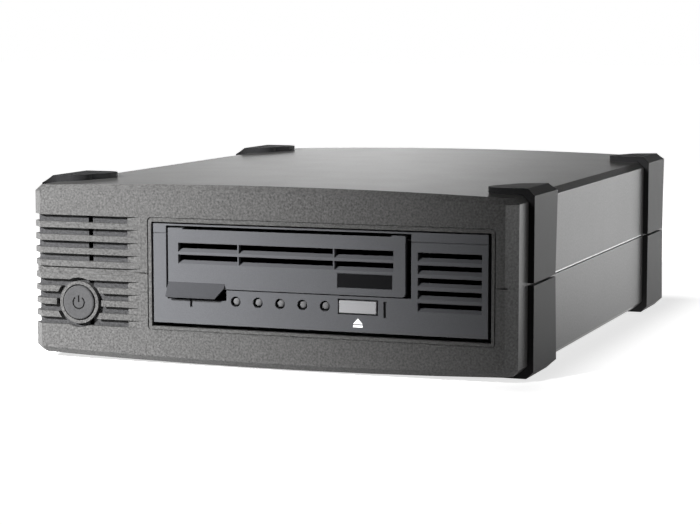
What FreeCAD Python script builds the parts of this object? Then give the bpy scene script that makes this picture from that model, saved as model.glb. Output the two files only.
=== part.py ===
import FreeCAD, Part
import math
import os

import Sketcher

# Desktop data tape drive: a half-height 5.25-inch drive in a two-shell bench enclosure.
# Millimetres. X is to the right seen from the front, Y runs back, Z is up.
# The origin is under the middle of the enclosure, on the plane that the bumpers stand on.

SIZES = {
    # enclosure shells
    "body_width": 218.0,
    "body_depth": 288.0,
    "side_height": 36.2,
    "crown": 2.2,
    "corner_cut": 4.6,
    "edge_cut": 2.5,
    "wall": 2.5,
    "side_seam_gap": 0.6,
    "seam_groove": 0.25,
    "seam_groove_depth": 1.0,
    # corner bumpers
    "bumper_proud": 2.6,
    "bumper_rise": 3.0,
    "bumper_setback": 18.2,
    "bumper_length": 34.5,
    "bumper_flare": 2.5,
    "bumper_reach": 19.0,
    "bumper_cut": 3.0,
    "bumper_seam": 0.5,
    # louvres round the front left corner
    "louvre_pitch": 5.57,
    "louvre_slot": 3.0,
    "louvre_land": 5.3,
    "louvre_wrap": 15.0,
    "ramp_length": 6.6,
    "ramp_depth": 1.6,
    "panel_gap": 0.3,
    "panel_sheet": 1.5,
    "panel_slit": 2.0,
    # power button
    "button_inset": 22.8,
    "button_radius": 7.35,
    "button_clearance": 0.45,
    "collar_wall": 1.4,
    "collar_clearance": 1.6,
    "button_travel": 1.5,
    # bay opening in the front
    "bay_gap_left": 1.0,
    "bay_gap_right": 1.4,
    "bay_gap_top": 0.7,
    "bay_gap_bottom": 1.8,
    "rim_width": 1.3,
    "rim_groove": 0.6,
    "rim_depth": 0.5,
    "rim_corner": 1.2,
    # tape drive
    "drive_margin": 11.5,
    "drive_shift_z": 0.4,
    "bezel_width": 148.0,
    "bezel_height": 42.2,
    "bezel_depth": 9.0,
    "drive_inset": 1.0,
    "drive_length": 205.0,
    "drive_sheet": 1.0,
    "drive_side": 3.0,
    # drive door
    "door_width": 106.0,
    "door_rise": 15.4,
    "door_sheet": 2.6,
    "door_proud": 0.4,
    "door_corner": 1.6,
    "door_left": 7.0,
    "door_top": 1.6,
    "door_gap_left": 1.1,
    "door_gap_right": 2.4,
    "door_gap_bottom": 0.5,
    "hinge_drop": 1.4,
    "hinge_back": 2.0,
    "pin_radius": 0.75,
    "pin_clearance": 0.05,
    "lip_width": 26.0,
    "lip_height": 5.0,
    "lip_proud": 3.0,
    "long_slot": 3.8,
    "long_slot_pitch": 5.0,
    "column_groove": 0.45,
    # drive front details
    "grille_pitch": 5.17,
    "grille_slot": 3.6,
    "grille_margin": 2.6,
    "lamp_pitch": 10.0,
    "lamp_radius": 1.6,
    "lamp_recess": 2.2,
    "eject_width": 16.3,
    "eject_height": 5.2,
    "eject_clearance": 0.6,
    "eject_travel": 1.0,
    # drive mechanism
    "base_level": 11.65,
    "base_sheet": 2.0,
    "reel_radius": 36.0,
    "reel_height": 17.0,
    "roller_radius": 6.0,
    "roller_height": 16.0,
    "shaft_radius": 2.0,
    "shaft_clearance": 0.05,
    "carriage_travel": 12.0,
    "head_travel": 1.5,
    # metal chassis
    "chassis_sheet": 1.0,
    "chassis_gap": 0.4,
    "chassis_setback": 17.0,
    "chassis_drop": 5.2,
    "rear_inset": 3.0,
    "rear_opening_margin": 9.0,
    # fan
    "fan_size": 50.0,
    "fan_depth": 15.0,
    "fan_wall": 1.5,
    "fan_tip_gap": 0.6,
    "fan_hub": 10.0,
    "fan_hole_spacing": 40.0,
    # sockets
    "inlet_width": 27.6,
    "inlet_height": 20.0,
    "inlet_depth": 22.0,
    "plug_width": 24.6,
    "plug_height": 16.2,
    "port_width": 22.0,
    "port_height": 8.0,
    "port_depth": 24.0,
    # power supply
    "supply_gap": 10.0,
    "supply_height": 46.0,
    "supply_length": 150.0,
    # screws
    "screw_radius": 1.5,
    "screw_head_radius": 2.9,
    "boss_radius": 4.0,
    "standoff_inset": 24.0,
    "standoff_setback": 60.0,
}

doc = FreeCAD.newDocument("tape_drive")
sheet = doc.addObject("Spreadsheet::Sheet", "sizes")
for row, (alias, amount) in enumerate(SIZES.items(), 1):
    sheet.set("A%d" % row, alias)
    sheet.set("B%d" % row, str(amount))
    sheet.setAlias("B%d" % row, alias)
doc.recompute()


class Formula:
    """A number that remembers how it is worked out from the cells of the sheet."""

    def __init__(self, text, value):
        self.text = text
        self.value = value

    def __add__(self, other):
        return joined(self, "+", other, self.value + number(other))

    def __radd__(self, other):
        return joined(other, "+", self, number(other) + self.value)

    def __sub__(self, other):
        return joined(self, "-", other, self.value - number(other))

    def __rsub__(self, other):
        return joined(other, "-", self, number(other) - self.value)

    def __mul__(self, other):
        return joined(self, "*", other, self.value * number(other))

    def __rmul__(self, other):
        return joined(other, "*", self, number(other) * self.value)

    def __truediv__(self, other):
        return joined(self, "/", other, self.value / number(other))

    def __neg__(self):
        return joined(0, "-", self, -self.value)


def number(amount):
    return amount.value if isinstance(amount, Formula) else float(amount)


def words(amount):
    return amount.text if isinstance(amount, Formula) else "(%.6g)" % amount


def joined(left, sign, right, value):
    return Formula("(%s %s %s)" % (words(left), sign, words(right)), value)


def root(amount):
    return Formula("sqrt(%s)" % words(amount), math.sqrt(number(amount)))


class Cells:
    """The sheet's cells by name, as formulas."""


cell = Cells()
for alias, amount in SIZES.items():
    setattr(cell, alias, Formula("sizes." + alias, amount))


def bind(thing, field, amount):
    thing.setExpression(field, words(amount))


# ---------------------------------------------------------------- PartDesign helpers

def new_body(name):
    body = doc.addObject("PartDesign::Body", name)
    body.Label = name
    return body


def origin_part(body, role):
    return next(item for item in body.Origin.OriginFeatures if item.Role == role)


def sketch_on(body, plane, level):
    """An empty sketch on one of the body's own planes, at a level along that plane's normal."""
    sketch = body.newObject("Sketcher::SketchObject", body.Name + "_sketch")
    sketch.AttachmentSupport = [(origin_part(body, plane), "")]
    sketch.MapMode = "FlatFace"
    bind(sketch, "AttachmentOffset.Base.z", -level if plane == "XZ_Plane" else level)
    return sketch


def pin_point(sketch, curve, end, x, y):
    """Fix one end of a curve at x, y of the sketch by named sizes."""
    for axis, line, amount in (("DistanceX", -2, x), ("DistanceY", -1, y)):
        if abs(number(amount)) < 1e-9:
            sketch.addConstraint(Sketcher.Constraint("PointOnObject", curve, end, line))
            continue
        index = sketch.addConstraint(
            Sketcher.Constraint(axis, -1, 1, curve, end, number(amount)))
        bind(sketch, "Constraints[%d]" % index, amount)


def draw_outline(sketch, points):
    """A closed outline. A third number is the radius of an arc that ends at the point.

    The arc bulges to the right of the way the outline runs, or to the left if it is negative.
    """
    first = sketch.GeometryCount
    places = [FreeCAD.Vector(number(p[0]), number(p[1]), 0) for p in points]
    for index, point in enumerate(points):
        start, end = places[index - 1], places[index]
        if len(point) == 3:
            way = arc_way(start, end, number(point[2]))
            sketch.addGeometry(Part.Arc(start, way, end), False)
        else:
            sketch.addGeometry(Part.LineSegment(start, end), False)
    for index, point in enumerate(points):
        curve = first + index
        after = (index + 1) % len(points)
        end = 1 if starts_at(sketch, curve, places[index]) else 2
        next_start = 1 if starts_at(sketch, first + after, places[index]) else 2
        sketch.addConstraint(
            Sketcher.Constraint("Coincident", curve, end, first + after, next_start))
        pin_point(sketch, curve, end, point[0], point[1])
        if len(point) == 3:
            radius = point[2] if number(point[2]) > 0 else 0 - point[2]
            held = sketch.addConstraint(Sketcher.Constraint("Radius", curve, number(radius)))
            bind(sketch, "Constraints[%d]" % held, radius)


def arc_way(start, end, radius):
    chord = end.sub(start)
    half = chord.Length / 2
    rise = abs(radius) - math.sqrt(radius * radius - half * half)
    right = FreeCAD.Vector(chord.y, -chord.x, 0).normalize()
    return start.add(chord * 0.5).add(right * math.copysign(rise, radius))


def starts_at(sketch, curve, place):
    return sketch.getPoint(curve, 1).distanceToPoint(place) < 1e-4


def draw_box(sketch, x0, x1, y0, y1):
    draw_outline(sketch, [(x0, y0), (x1, y0), (x1, y1), (x0, y1)])


def draw_circle(sketch, x, y, radius):
    centre = FreeCAD.Vector(number(x), number(y), 0)
    normal = FreeCAD.Vector(0, 0, 1)
    curve = sketch.addGeometry(Part.Circle(centre, normal, number(radius)), False)
    pin_point(sketch, curve, 3, x, y)
    index = sketch.addConstraint(Sketcher.Constraint("Radius", curve, number(radius)))
    bind(sketch, "Constraints[%d]" % index, radius)


def swept(body, kind, sketch, length, reverse, both=False):
    feature = body.newObject("PartDesign::" + kind, body.Name + "_" + kind.lower())
    feature.Profile = sketch
    feature.Reversed = reverse
    feature.Midplane = both
    bind(feature, "Length", length)
    doc.recompute()
    return feature


def pad(body, plane, level, draw, length, towards_minus=False):
    """Material from the plane's level, towards the plus side of the axis or the minus side."""
    sketch = sketch_on(body, plane, level)
    draw(sketch)
    normal_is_minus = plane == "XZ_Plane"
    return swept(body, "Pad", sketch, length, towards_minus != normal_is_minus)


def pocket(body, plane, level, draw, length, towards_minus=False):
    sketch = sketch_on(body, plane, level)
    draw(sketch)
    before = body.Shape.Volume
    normal_is_minus = plane == "XZ_Plane"
    feature = swept(body, "Pocket", sketch, length, towards_minus == normal_is_minus)
    if not body.Shape.Volume < before - 1e-6:
        raise RuntimeError("a pocket of %s cuts nothing" % body.Name)
    return feature


def bevel(body, level, draw, way, length):
    """A pocket from a sketch across the depth that runs along a slanted way."""
    sketch = sketch_on(body, "XZ_Plane", level)
    draw(sketch)
    before = body.Shape.Volume
    feature = swept(body, "Pocket", sketch, length, False)
    feature.UseCustomVector = True
    feature.Direction = FreeCAD.Vector(*way)
    feature.AlongSketchNormal = False
    doc.recompute()
    if not body.Shape.Volume < before - 1e-6:
        raise RuntimeError("a bevel of %s cuts nothing" % body.Name)


def repeated(body, feature, axis, step, count):
    pattern = body.newObject("PartDesign::LinearPattern", body.Name + "_pattern")
    pattern.Originals = [feature]
    pattern.Direction = (origin_part(body, axis), [""])
    bind(pattern, "Length", step * (count - 1))
    pattern.Occurrences = count
    body.Tip = pattern
    doc.recompute()
    return pattern


def edges_where(shape, test):
    return ["Edge%d" % (i + 1) for i, edge in enumerate(shape.Edges) if test(edge)]


def dressed(body, kind, field, names, amount):
    base = body.Tip
    feature = body.newObject("PartDesign::" + kind, body.Name + "_" + kind.lower())
    feature.Base = (base, names)
    bind(feature, field, amount)
    body.Tip = feature
    doc.recompute()
    return feature


# ---------------------------------------------------------------- Part helpers

def place(thing, x, y, z):
    bind(thing, "Placement.Base.x", x)
    bind(thing, "Placement.Base.y", y)
    bind(thing, "Placement.Base.z", z)


def block(name, x0, x1, y0, y1, z0, z1):
    """A block between two corners."""
    thing = doc.addObject("Part::Box", name)
    bind(thing, "Length", x1 - x0)
    bind(thing, "Width", y1 - y0)
    bind(thing, "Height", z1 - z0)
    place(thing, x0, y0, z0)
    return thing


TURNS = {
    "z": FreeCAD.Rotation(),
    "y": FreeCAD.Rotation(FreeCAD.Vector(1, 0, 0), -90),
    "x": FreeCAD.Rotation(FreeCAD.Vector(0, 1, 0), 90),
}


def rod(name, axis, x, y, z, radius, length):
    """A cylinder that starts at x, y, z and runs along the plus side of an axis."""
    thing = doc.addObject("Part::Cylinder", name)
    thing.Placement = FreeCAD.Placement(FreeCAD.Vector(), TURNS[axis])
    bind(thing, "Radius", radius)
    bind(thing, "Height", length)
    place(thing, x, y, z)
    return thing


def cone(name, axis, x, y, z, radius, far_radius, length):
    thing = doc.addObject("Part::Cone", name)
    thing.Placement = FreeCAD.Placement(FreeCAD.Vector(), TURNS[axis])
    bind(thing, "Radius1", radius)
    bind(thing, "Radius2", far_radius)
    bind(thing, "Height", length)
    place(thing, x, y, z)
    return thing


def fused(name, things):
    result = doc.addObject("Part::MultiFuse", name)
    result.Shapes = things
    result.Label = name
    doc.recompute()
    return result


def cut_from(name, base, tools):
    result = doc.addObject("Part::Cut", name)
    result.Base = base
    result.Tool = tools[0] if len(tools) == 1 else fused(name + "_tools", tools)
    result.Label = name
    doc.recompute()
    return result


def group(name, things):
    """Separate solids that share one node."""
    result = doc.addObject("Part::Compound", name)
    result.Links = things
    result.Label = name
    doc.recompute()
    return result


pieces = []


def keep(thing, name):
    thing.Label = name
    pieces.append(thing)
    return thing


# ---------------------------------------------------------------- shared places

half_width = cell.body_width / 2
lip_reach = cell.door_proud + cell.lip_proud
front = (lip_reach - cell.body_depth) / 2
rear = front + cell.body_depth
stand_height = cell.side_height + cell.bumper_rise
seam = stand_height
chassis_half_height = cell.side_height - cell.chassis_drop
crown_radius = (half_width * half_width + cell.crown * cell.crown) / (2 * cell.crown)
inner_half_width = half_width - cell.wall

drive_x = half_width - cell.drive_margin - cell.bezel_width / 2
drive_z = seam + cell.drive_shift_z
bezel_left = drive_x - cell.bezel_width / 2
bezel_right = drive_x + cell.bezel_width / 2
bezel_top = drive_z + cell.bezel_height / 2
bezel_bottom = drive_z - cell.bezel_height / 2
bay_left = bezel_left - cell.bay_gap_left
bay_right = bezel_right + cell.bay_gap_right
bay_top = bezel_top + cell.bay_gap_top
bay_bottom = bezel_bottom - cell.bay_gap_bottom

louvre_run = bay_left + half_width - cell.louvre_land - cell.ramp_length
button_x = -half_width + cell.button_inset
button_z = seam - 2.5 * cell.louvre_pitch
collar_radius = cell.button_radius + cell.button_clearance + cell.collar_wall
screw_head = 1.6
screw_seat = seam - cell.side_height + cell.wall + screw_head

MARGIN = 5.0


# ---------------------------------------------------------------- enclosure shells

def plan_outline(sketch):
    """The enclosure seen from above: a rectangle with its corners cut."""
    cut = cell.corner_cut
    draw_outline(sketch, [
        (-half_width, front + cut), (cut - half_width, front),
        (half_width - cut, front), (half_width, front + cut),
        (half_width, rear - cut), (half_width - cut, rear),
        (cut - half_width, rear), (-half_width, rear - cut),
    ])


def solid_half(name, up):
    """One half of the enclosure as a closed block: plan, crown and chamfered edge."""
    body = new_body(name)
    height = cell.side_height + cell.crown
    pad(body, "XY_Plane", seam, plan_outline, height, towards_minus=up < 0)

    def above(drop):
        def draw(sketch):
            wide = half_width + MARGIN
            peak = seam + up * (height - drop)
            side = peak - up * (crown_radius - root(crown_radius * crown_radius - wide * wide))
            far = seam + up * (height + MARGIN)
            draw_outline(sketch, [
                (wide, far), (-wide, far), (-wide, side), (wide, side, -up * crown_radius),
            ])
        return draw

    pocket(body, "XZ_Plane", rear + MARGIN, above(0), cell.body_depth + 2 * MARGIN,
           towards_minus=True)
    bevel(body, front, above(cell.edge_cut), (0, 1, up), 2 * cell.edge_cut)
    bevel(body, rear, above(cell.edge_cut), (0, -1, up), 2 * cell.edge_cut)
    top = seam + up * cell.side_height
    for side in (-1, 1):
        def long_edge(sketch):
            outer = side * (half_width + MARGIN)
            inner = side * (half_width - cell.edge_cut - MARGIN)
            draw_outline(sketch, [(outer, top - up * (cell.edge_cut + MARGIN)),
                                  (outer, top + up * MARGIN), (inner, top + up * MARGIN)])

        pocket(body, "XZ_Plane", front - MARGIN, long_edge, cell.body_depth + 2 * MARGIN)
        for end, turn in ((front, 1), (rear, -1)):
            def corner_edge(sketch):
                foot = half_width - cell.corner_cut - MARGIN
                slope = 2 ** 0.5
                low = top - up * cell.edge_cut
                draw_outline(sketch, [
                    (side * (foot + slope * MARGIN), low - up * MARGIN),
                    (side * (foot + slope * MARGIN), low + up * 2 * MARGIN),
                    (side * (foot - slope * 2 * MARGIN), low + up * 2 * MARGIN)])

            bevel(body, end - turn * MARGIN, corner_edge, (side, turn, 0), 4 * MARGIN)
    return body


def hollow_half(name, up):
    """A moulded half shell with its bay, louvres, seam relief and standoffs."""
    body = solid_half(name, up)

    def cavity(sketch):
        side = seam + up * (cell.side_height - cell.wall)
        draw_outline(sketch, [
            (-inner_half_width, seam - up * MARGIN), (-inner_half_width, side),
            (inner_half_width, side, -up * (crown_radius - cell.wall)),
            (inner_half_width, seam - up * MARGIN),
        ])

    pocket(body, "XZ_Plane", front + cell.wall, cavity, cell.body_depth - 2 * cell.wall)

    low, high = (seam - MARGIN, bay_top) if up > 0 else (bay_bottom, seam + MARGIN)
    pocket(body, "XZ_Plane", front - MARGIN,
           lambda sketch: draw_box(sketch, bay_left, bay_right, low, high),
           cell.wall + 2 * MARGIN)

    rim = cell.rim_width
    edge = bay_top + rim if up > 0 else bay_bottom - rim
    groove = cell.rim_groove

    def rim_groove(sketch):
        low, inner = seam - up * MARGIN, cell.rim_corner
        outer = inner + groove
        left, right = bay_left - rim, bay_right + rim
        draw_outline(sketch, [
            (left, low), (left - groove, low), (left - groove, edge + up * (groove - outer)),
            (left - groove + outer, edge + up * groove, -up * outer),
            (right + groove - outer, edge + up * groove),
            (right + groove, edge + up * (groove - outer), -up * outer),
            (right + groove, low), (right, low), (right, edge - up * inner),
            (right - inner, edge, up * inner), (left + inner, edge),
            (left, edge - up * inner, up * inner),
        ])

    pocket(body, "XZ_Plane", front, rim_groove, cell.rim_depth)
    cut_louvres(body, up)
    if up < 0:
        pocket(body, "XZ_Plane", front - MARGIN,
               lambda sketch: draw_circle(sketch, button_x, button_z,
                                          collar_radius + cell.collar_clearance),
               cell.wall + 2 * MARGIN)
    relieve_seam(body, up)
    groove_seam(body, up)
    open_rear(body, up)
    raise_standoffs(body, up)
    return body


def cut_louvres(body, up):
    """Slots that start as a ramp in the front face and wrap round the left corner."""
    end = -half_width + louvre_run
    back = front + cell.wall + 0.5
    inner = -half_width + cell.wall + 0.5

    def channel(sketch):
        draw_outline(sketch, [
            (end + cell.ramp_length, front - MARGIN), (end + cell.ramp_length, front),
            (end, front + cell.ramp_depth), (end, back), (inner, back),
            (inner, front + cell.louvre_wrap), (-half_width - MARGIN, front + cell.louvre_wrap),
            (-half_width - MARGIN, front - MARGIN),
        ])

    first = seam + up * (cell.louvre_pitch - cell.louvre_slot / 2)
    slot = pocket(body, "XY_Plane", first, channel, cell.louvre_slot, towards_minus=up < 0)
    pattern = repeated(body, slot, "Z_Axis", cell.louvre_pitch, 4)
    if up < 0:
        pattern.Reversed = True
        doc.recompute()

    def shallow(sketch):
        depth = cell.ramp_depth
        draw_outline(sketch, [
            (end + cell.ramp_length, front - MARGIN), (end + cell.ramp_length, front),
            (end, front + depth), (-half_width + depth, front + depth),
            (-half_width + depth, front + cell.louvre_wrap),
            (-half_width - MARGIN, front + cell.louvre_wrap),
            (-half_width - MARGIN, front - MARGIN),
        ])

    pocket(body, "XY_Plane", seam + up * cell.louvre_slot / 2, shallow, cell.louvre_slot,
           towards_minus=up > 0)


def relieve_seam(body, up):
    """The long sides stand off at the seam between the bumpers."""
    start = front + cell.bumper_setback + cell.bumper_length
    length = cell.body_depth - 2 * (cell.bumper_setback + cell.bumper_length)
    seam_edge = seam + up * cell.side_seam_gap
    for side in (-1, 1):
        outer = side * (half_width + MARGIN)
        inner = side * (inner_half_width - 1)
        pocket(body, "XZ_Plane", start,
               lambda sketch: draw_box(sketch, inner, outer, seam - up * MARGIN, seam_edge),
               length)


def groove_seam(body, up):
    """A fine groove where the halves meet in the front, either side of the bay."""
    edge = seam + up * cell.seam_groove
    spans = ((-half_width + louvre_run, bay_left - MARGIN / 2),
             (bay_right + MARGIN / 2, half_width + MARGIN))
    for x0, x1 in spans:
        pocket(body, "XZ_Plane", front - MARGIN,
               lambda sketch: draw_box(sketch, x0, x1, seam - up * MARGIN, edge),
               MARGIN + cell.seam_groove_depth)


def open_rear(body, up):
    wide = half_width - cell.rear_opening_margin
    high = seam + up * (cell.side_height - cell.rear_opening_margin)
    pocket(body, "XZ_Plane", rear - cell.wall - MARGIN,
           lambda sketch: draw_box(sketch, -wide, wide, seam - up * MARGIN, high),
           cell.wall + 2 * MARGIN)


def raise_standoffs(body, up):
    """Four standoffs that meet the metal chassis; the lower ones take screws from below."""
    spots = [(sx * (inner_half_width - cell.standoff_inset), y)
             for sx in (-1, 1)
             for y in (front + cell.standoff_setback, rear - cell.standoff_setback)]
    level = seam + up * chassis_half_height
    reach = cell.side_height - cell.wall + 1.5 - chassis_half_height

    def rings(sketch):
        for x, y in spots:
            draw_circle(sketch, x, y, cell.boss_radius)

    pad(body, "XY_Plane", level, rings, reach, towards_minus=up < 0)
    if up < 0:
        def bores(sketch):
            for x, y in spots:
                draw_circle(sketch, x, y, cell.screw_radius + cell.button_clearance / 3)

        pocket(body, "XY_Plane", level + 1, bores, cell.side_height, towards_minus=True)

        def head_wells(sketch):
            for x, y in spots:
                draw_circle(sketch, x, y, cell.screw_head_radius + cell.button_clearance)

        pocket(body, "XY_Plane", screw_seat, head_wells, cell.side_height, towards_minus=True)


keep(hollow_half("upper_shell", 1), "upper_shell")
keep(hollow_half("lower_shell", -1), "lower_shell")
envelopes = {1: solid_half("upper_envelope", 1), -1: solid_half("lower_envelope", -1)}


# ---------------------------------------------------------------- corner bumpers

def bumper(name, sx, near_front, up):
    """Half of a rubber band that wraps one corner post: an arm on top and a side pad.

    One moulding serves all four posts: on the right the arm's wide end is towards the front,
    and on the left, where it is turned about, towards the rear.
    """
    body = new_body(name + "_blank")
    side = sx * half_width
    length, flare = cell.bumper_length, cell.bumper_flare
    low_end = front + cell.bumper_setback if near_front else rear - cell.bumper_setback - length
    start = low_end if sx > 0 else low_end + length
    proud, reach = cell.bumper_proud, cell.bumper_reach

    def spot(inward, along, radius=None):
        x, y = side - sx * inward, start + sx * along
        return (x, y) if radius is None else (x, y, radius)

    def plan(sketch):
        draw_outline(sketch, [
            spot(-proud, 0), spot(reach - 6, 0), spot(reach, 7.5, -8.0),
            spot(reach - 0.8, 12), spot(reach - 5.4, 20.5), spot(reach - 12, 29.5, -11.0),
            spot(reach - 17, 31.5), spot(-proud, length + flare, 9.0),
        ])

    height = stand_height - cell.bumper_seam
    pad(body, "XY_Plane", seam + up * cell.bumper_seam, plan, height, towards_minus=up < 0)

    def slant(sketch):
        low, high = seam - up * MARGIN, seam + up * (stand_height + MARGIN)
        near = start + sx * length
        far = near + sx * flare
        beyond = far + sx * MARGIN
        draw_outline(sketch, [
            (near, low), (near, seam + up * cell.bumper_seam),
            (far, seam + up * cell.side_height), (far, high), (beyond, high), (beyond, low)])

    pocket(body, "YZ_Plane", sx * (half_width + proud + MARGIN), slant,
           proud + reach + 2 * MARGIN, towards_minus=sx > 0)
    top = number(seam + up * stand_height)
    edge_x = number(sx * (half_width + proud))

    def outer_edge(edge):
        box = edge.BoundBox
        level = abs(box.ZMin - top) < 0.01 and abs(box.ZMax - top) < 0.01
        return level and abs(box.XMin - edge_x) < 0.01 and abs(box.XMax - edge_x) < 0.01

    dressed(body, "Chamfer", "Size", edges_where(body.Shape, outer_edge), cell.bumper_cut)
    return keep(cut_from(name, body, [envelopes[up]]), name)


for side_name, sx in (("left", -1), ("right", 1)):
    for end_name in ("front", "rear"):
        for half_name, up in (("upper", 1), ("lower", -1)):
            bumper("%s_%s_%s_bumper" % (end_name, side_name, half_name), sx,
                   end_name == "front", up)


# ---------------------------------------------------------------- louvre backing panels

panel_face = front + cell.wall + cell.panel_gap
panel_back = panel_face + cell.panel_sheet
panel_left = -inner_half_width + cell.panel_gap
panel_end = -half_width + louvre_run + cell.ramp_length
slit_x = button_x + cell.button_radius - 3.5


def louvre_panel(name, up):
    """A bent panel behind the louvres, with a narrow air slit."""
    body = new_body(name)
    wrap = front + cell.louvre_wrap + 1.0

    def plan(sketch):
        draw_outline(sketch, [
            (panel_left, panel_face), (panel_end, panel_face), (panel_end, panel_back),
            (panel_left + cell.panel_sheet, panel_back), (panel_left + cell.panel_sheet, wrap),
            (panel_left, wrap)])

    tall = cell.side_height - cell.wall - 2 * cell.panel_gap
    pad(body, "XY_Plane", seam + up * cell.panel_gap, plan, tall, towards_minus=up < 0)
    ends = (seam + up * cell.louvre_slot, seam + up * (tall - 5))
    pocket(body, "XZ_Plane", panel_face - MARGIN,
           lambda sketch: draw_box(sketch, slit_x, slit_x + cell.panel_slit, ends[0], ends[1]),
           cell.panel_sheet + 2 * MARGIN)
    return body


def lower_panel():
    body = louvre_panel("lower_louvre_panel", -1)
    collar_face = front + 0.2
    depth = panel_back - collar_face
    pad(body, "XZ_Plane", collar_face,
        lambda sketch: draw_circle(sketch, button_x, button_z, collar_radius), depth)
    pocket(body, "XZ_Plane", collar_face - MARGIN,
           lambda sketch: draw_circle(sketch, button_x, button_z,
                                      cell.button_radius + cell.button_clearance),
           depth + 2 * MARGIN)
    return body


keep(louvre_panel("upper_louvre_panel", 1), "upper_louvre_panel")
keep(lower_panel(), "lower_louvre_panel")


# ---------------------------------------------------------------- power button

button_face = front - 0.6
button_skirt = panel_back + 1.0
stem_end = button_skirt + 3.0
tray_face = front + cell.chassis_setback
switch_face = tray_face - 5.0

keep(fused("power_button", [
    cone("power_cap_edge", "y", button_x, button_face, button_z,
         cell.button_radius - 0.5, cell.button_radius, 0.5),
    rod("power_cap", "y", button_x, button_face + 0.5, button_z,
        cell.button_radius, button_skirt - button_face - 0.5),
    rod("power_stem", "y", button_x, button_skirt, button_z, 3.0, stem_end - button_skirt),
]), "power_button")

keep(fused("power_switch", [
    block("switch_case", button_x - 6, button_x + 6, switch_face, tray_face,
          button_z - 6, button_z + 6),
    rod("switch_plunger", "y", button_x, stem_end + cell.button_travel + 0.2, button_z, 1.6,
        switch_face - stem_end - cell.button_travel - 0.2),
]), "power_switch")


# ---------------------------------------------------------------- metal chassis

thick = cell.chassis_sheet
tray_side = inner_half_width - cell.chassis_gap
tray_bottom = seam - chassis_half_height
tray_top = seam + chassis_half_height - thick
panel_outer = rear - cell.wall - 0.2
panel_inner = panel_outer - thick
drive_left = bezel_left + cell.drive_inset
drive_right = bezel_right - cell.drive_inset
drive_bottom = bezel_bottom + cell.drive_inset / 2
drive_top = bezel_top - cell.drive_inset / 2
drive_back = front + cell.drive_length
hem_start = front + cell.bumper_setback + cell.bumper_length + 1.0
hem_end = rear - cell.bumper_setback - cell.bumper_length - 1.0
hem_reach = half_width - 0.5
hem_half = cell.side_seam_gap - 0.3

keep(cut_from("chassis_tray", fused("tray_solid", [
    block("tray_blank", -tray_side, tray_side, tray_face, panel_inner, tray_bottom, tray_top),
    block("tray_hem", -hem_reach, hem_reach, hem_start, hem_end, seam - hem_half,
          seam + hem_half),
]), [
    block("tray_hollow", thick - tray_side, tray_side - thick, tray_face + thick,
          panel_inner + MARGIN, tray_bottom + thick, tray_top + MARGIN),
    block("tray_window", drive_left - 0.5, drive_right + 0.5, tray_face - MARGIN,
          tray_face + 2 * MARGIN, drive_bottom - 0.5, tray_top + MARGIN),
]), "chassis_tray")

keep(block("chassis_lid", -tray_side, tray_side, tray_face, panel_inner, tray_top,
           tray_top + thick), "chassis_lid")

fan_x = drive_x + 42.0
fan_z = seam
inlet_x = -tray_side + 29.6
port_x = drive_x - 22.0


def screw_spots(spacing):
    half = spacing / 2
    return [(fan_x + sx * half, fan_z + sz * half) for sx in (-1, 1) for sz in (-1, 1)]


keep(cut_from("rear_panel",
              block("rear_panel_blank", -tray_side, tray_side, panel_inner, panel_outer,
                    tray_bottom, tray_top + thick), [
    rod("fan_window", "y", fan_x, panel_inner - MARGIN, fan_z,
        cell.fan_size / 2 - cell.fan_wall, 2 * MARGIN + thick),
    block("inlet_window", inlet_x - cell.inlet_width / 2, inlet_x + cell.inlet_width / 2,
          panel_inner - MARGIN, panel_outer + MARGIN,
          seam - cell.inlet_height / 2, seam + cell.inlet_height / 2),
    block("port_window", port_x - cell.port_width / 2, port_x + cell.port_width / 2,
          panel_inner - MARGIN, panel_outer + MARGIN,
          seam - cell.port_height / 2, seam + cell.port_height / 2),
] + [rod("fan_screw_hole_%d" % i, "y", x, panel_inner - MARGIN, z, cell.screw_radius + 0.2,
         2 * MARGIN + thick) for i, (x, z) in enumerate(screw_spots(cell.fan_hole_spacing))]),
     "rear_panel")


# ---------------------------------------------------------------- fan

fan_front = panel_inner - cell.fan_depth
fan_half = cell.fan_size / 2
bore_radius = fan_half - cell.fan_wall
strut_thick = 2.0
hub_shaft = 1.5
frame_hub = fan_front + strut_thick


def radial_bar(name, angle, inner, outer, width, y0, y1, tilt=0.0):
    """A bar that stands out from the fan's axis, turned to an angle and tilted like a blade."""
    bar = doc.addObject("Part::Box", name)
    bind(bar, "Length", outer - inner)
    bind(bar, "Width", y1 - y0)
    bind(bar, "Height", width)
    turn = FreeCAD.Rotation(FreeCAD.Vector(0, 1, 0), angle)
    lean = FreeCAD.Rotation(FreeCAD.Vector(1, 0, 0), tilt)
    local = FreeCAD.Vector(number(inner), -number(y1 - y0) / 2, -number(width) / 2)
    spin = turn.multiply(lean)
    offset = spin.multVec(local)
    bar.Placement = FreeCAD.Placement(offset, spin)
    place(bar, fan_x + offset.x, (y0 + y1) / 2 + offset.y, fan_z + offset.z)
    return bar


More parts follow.
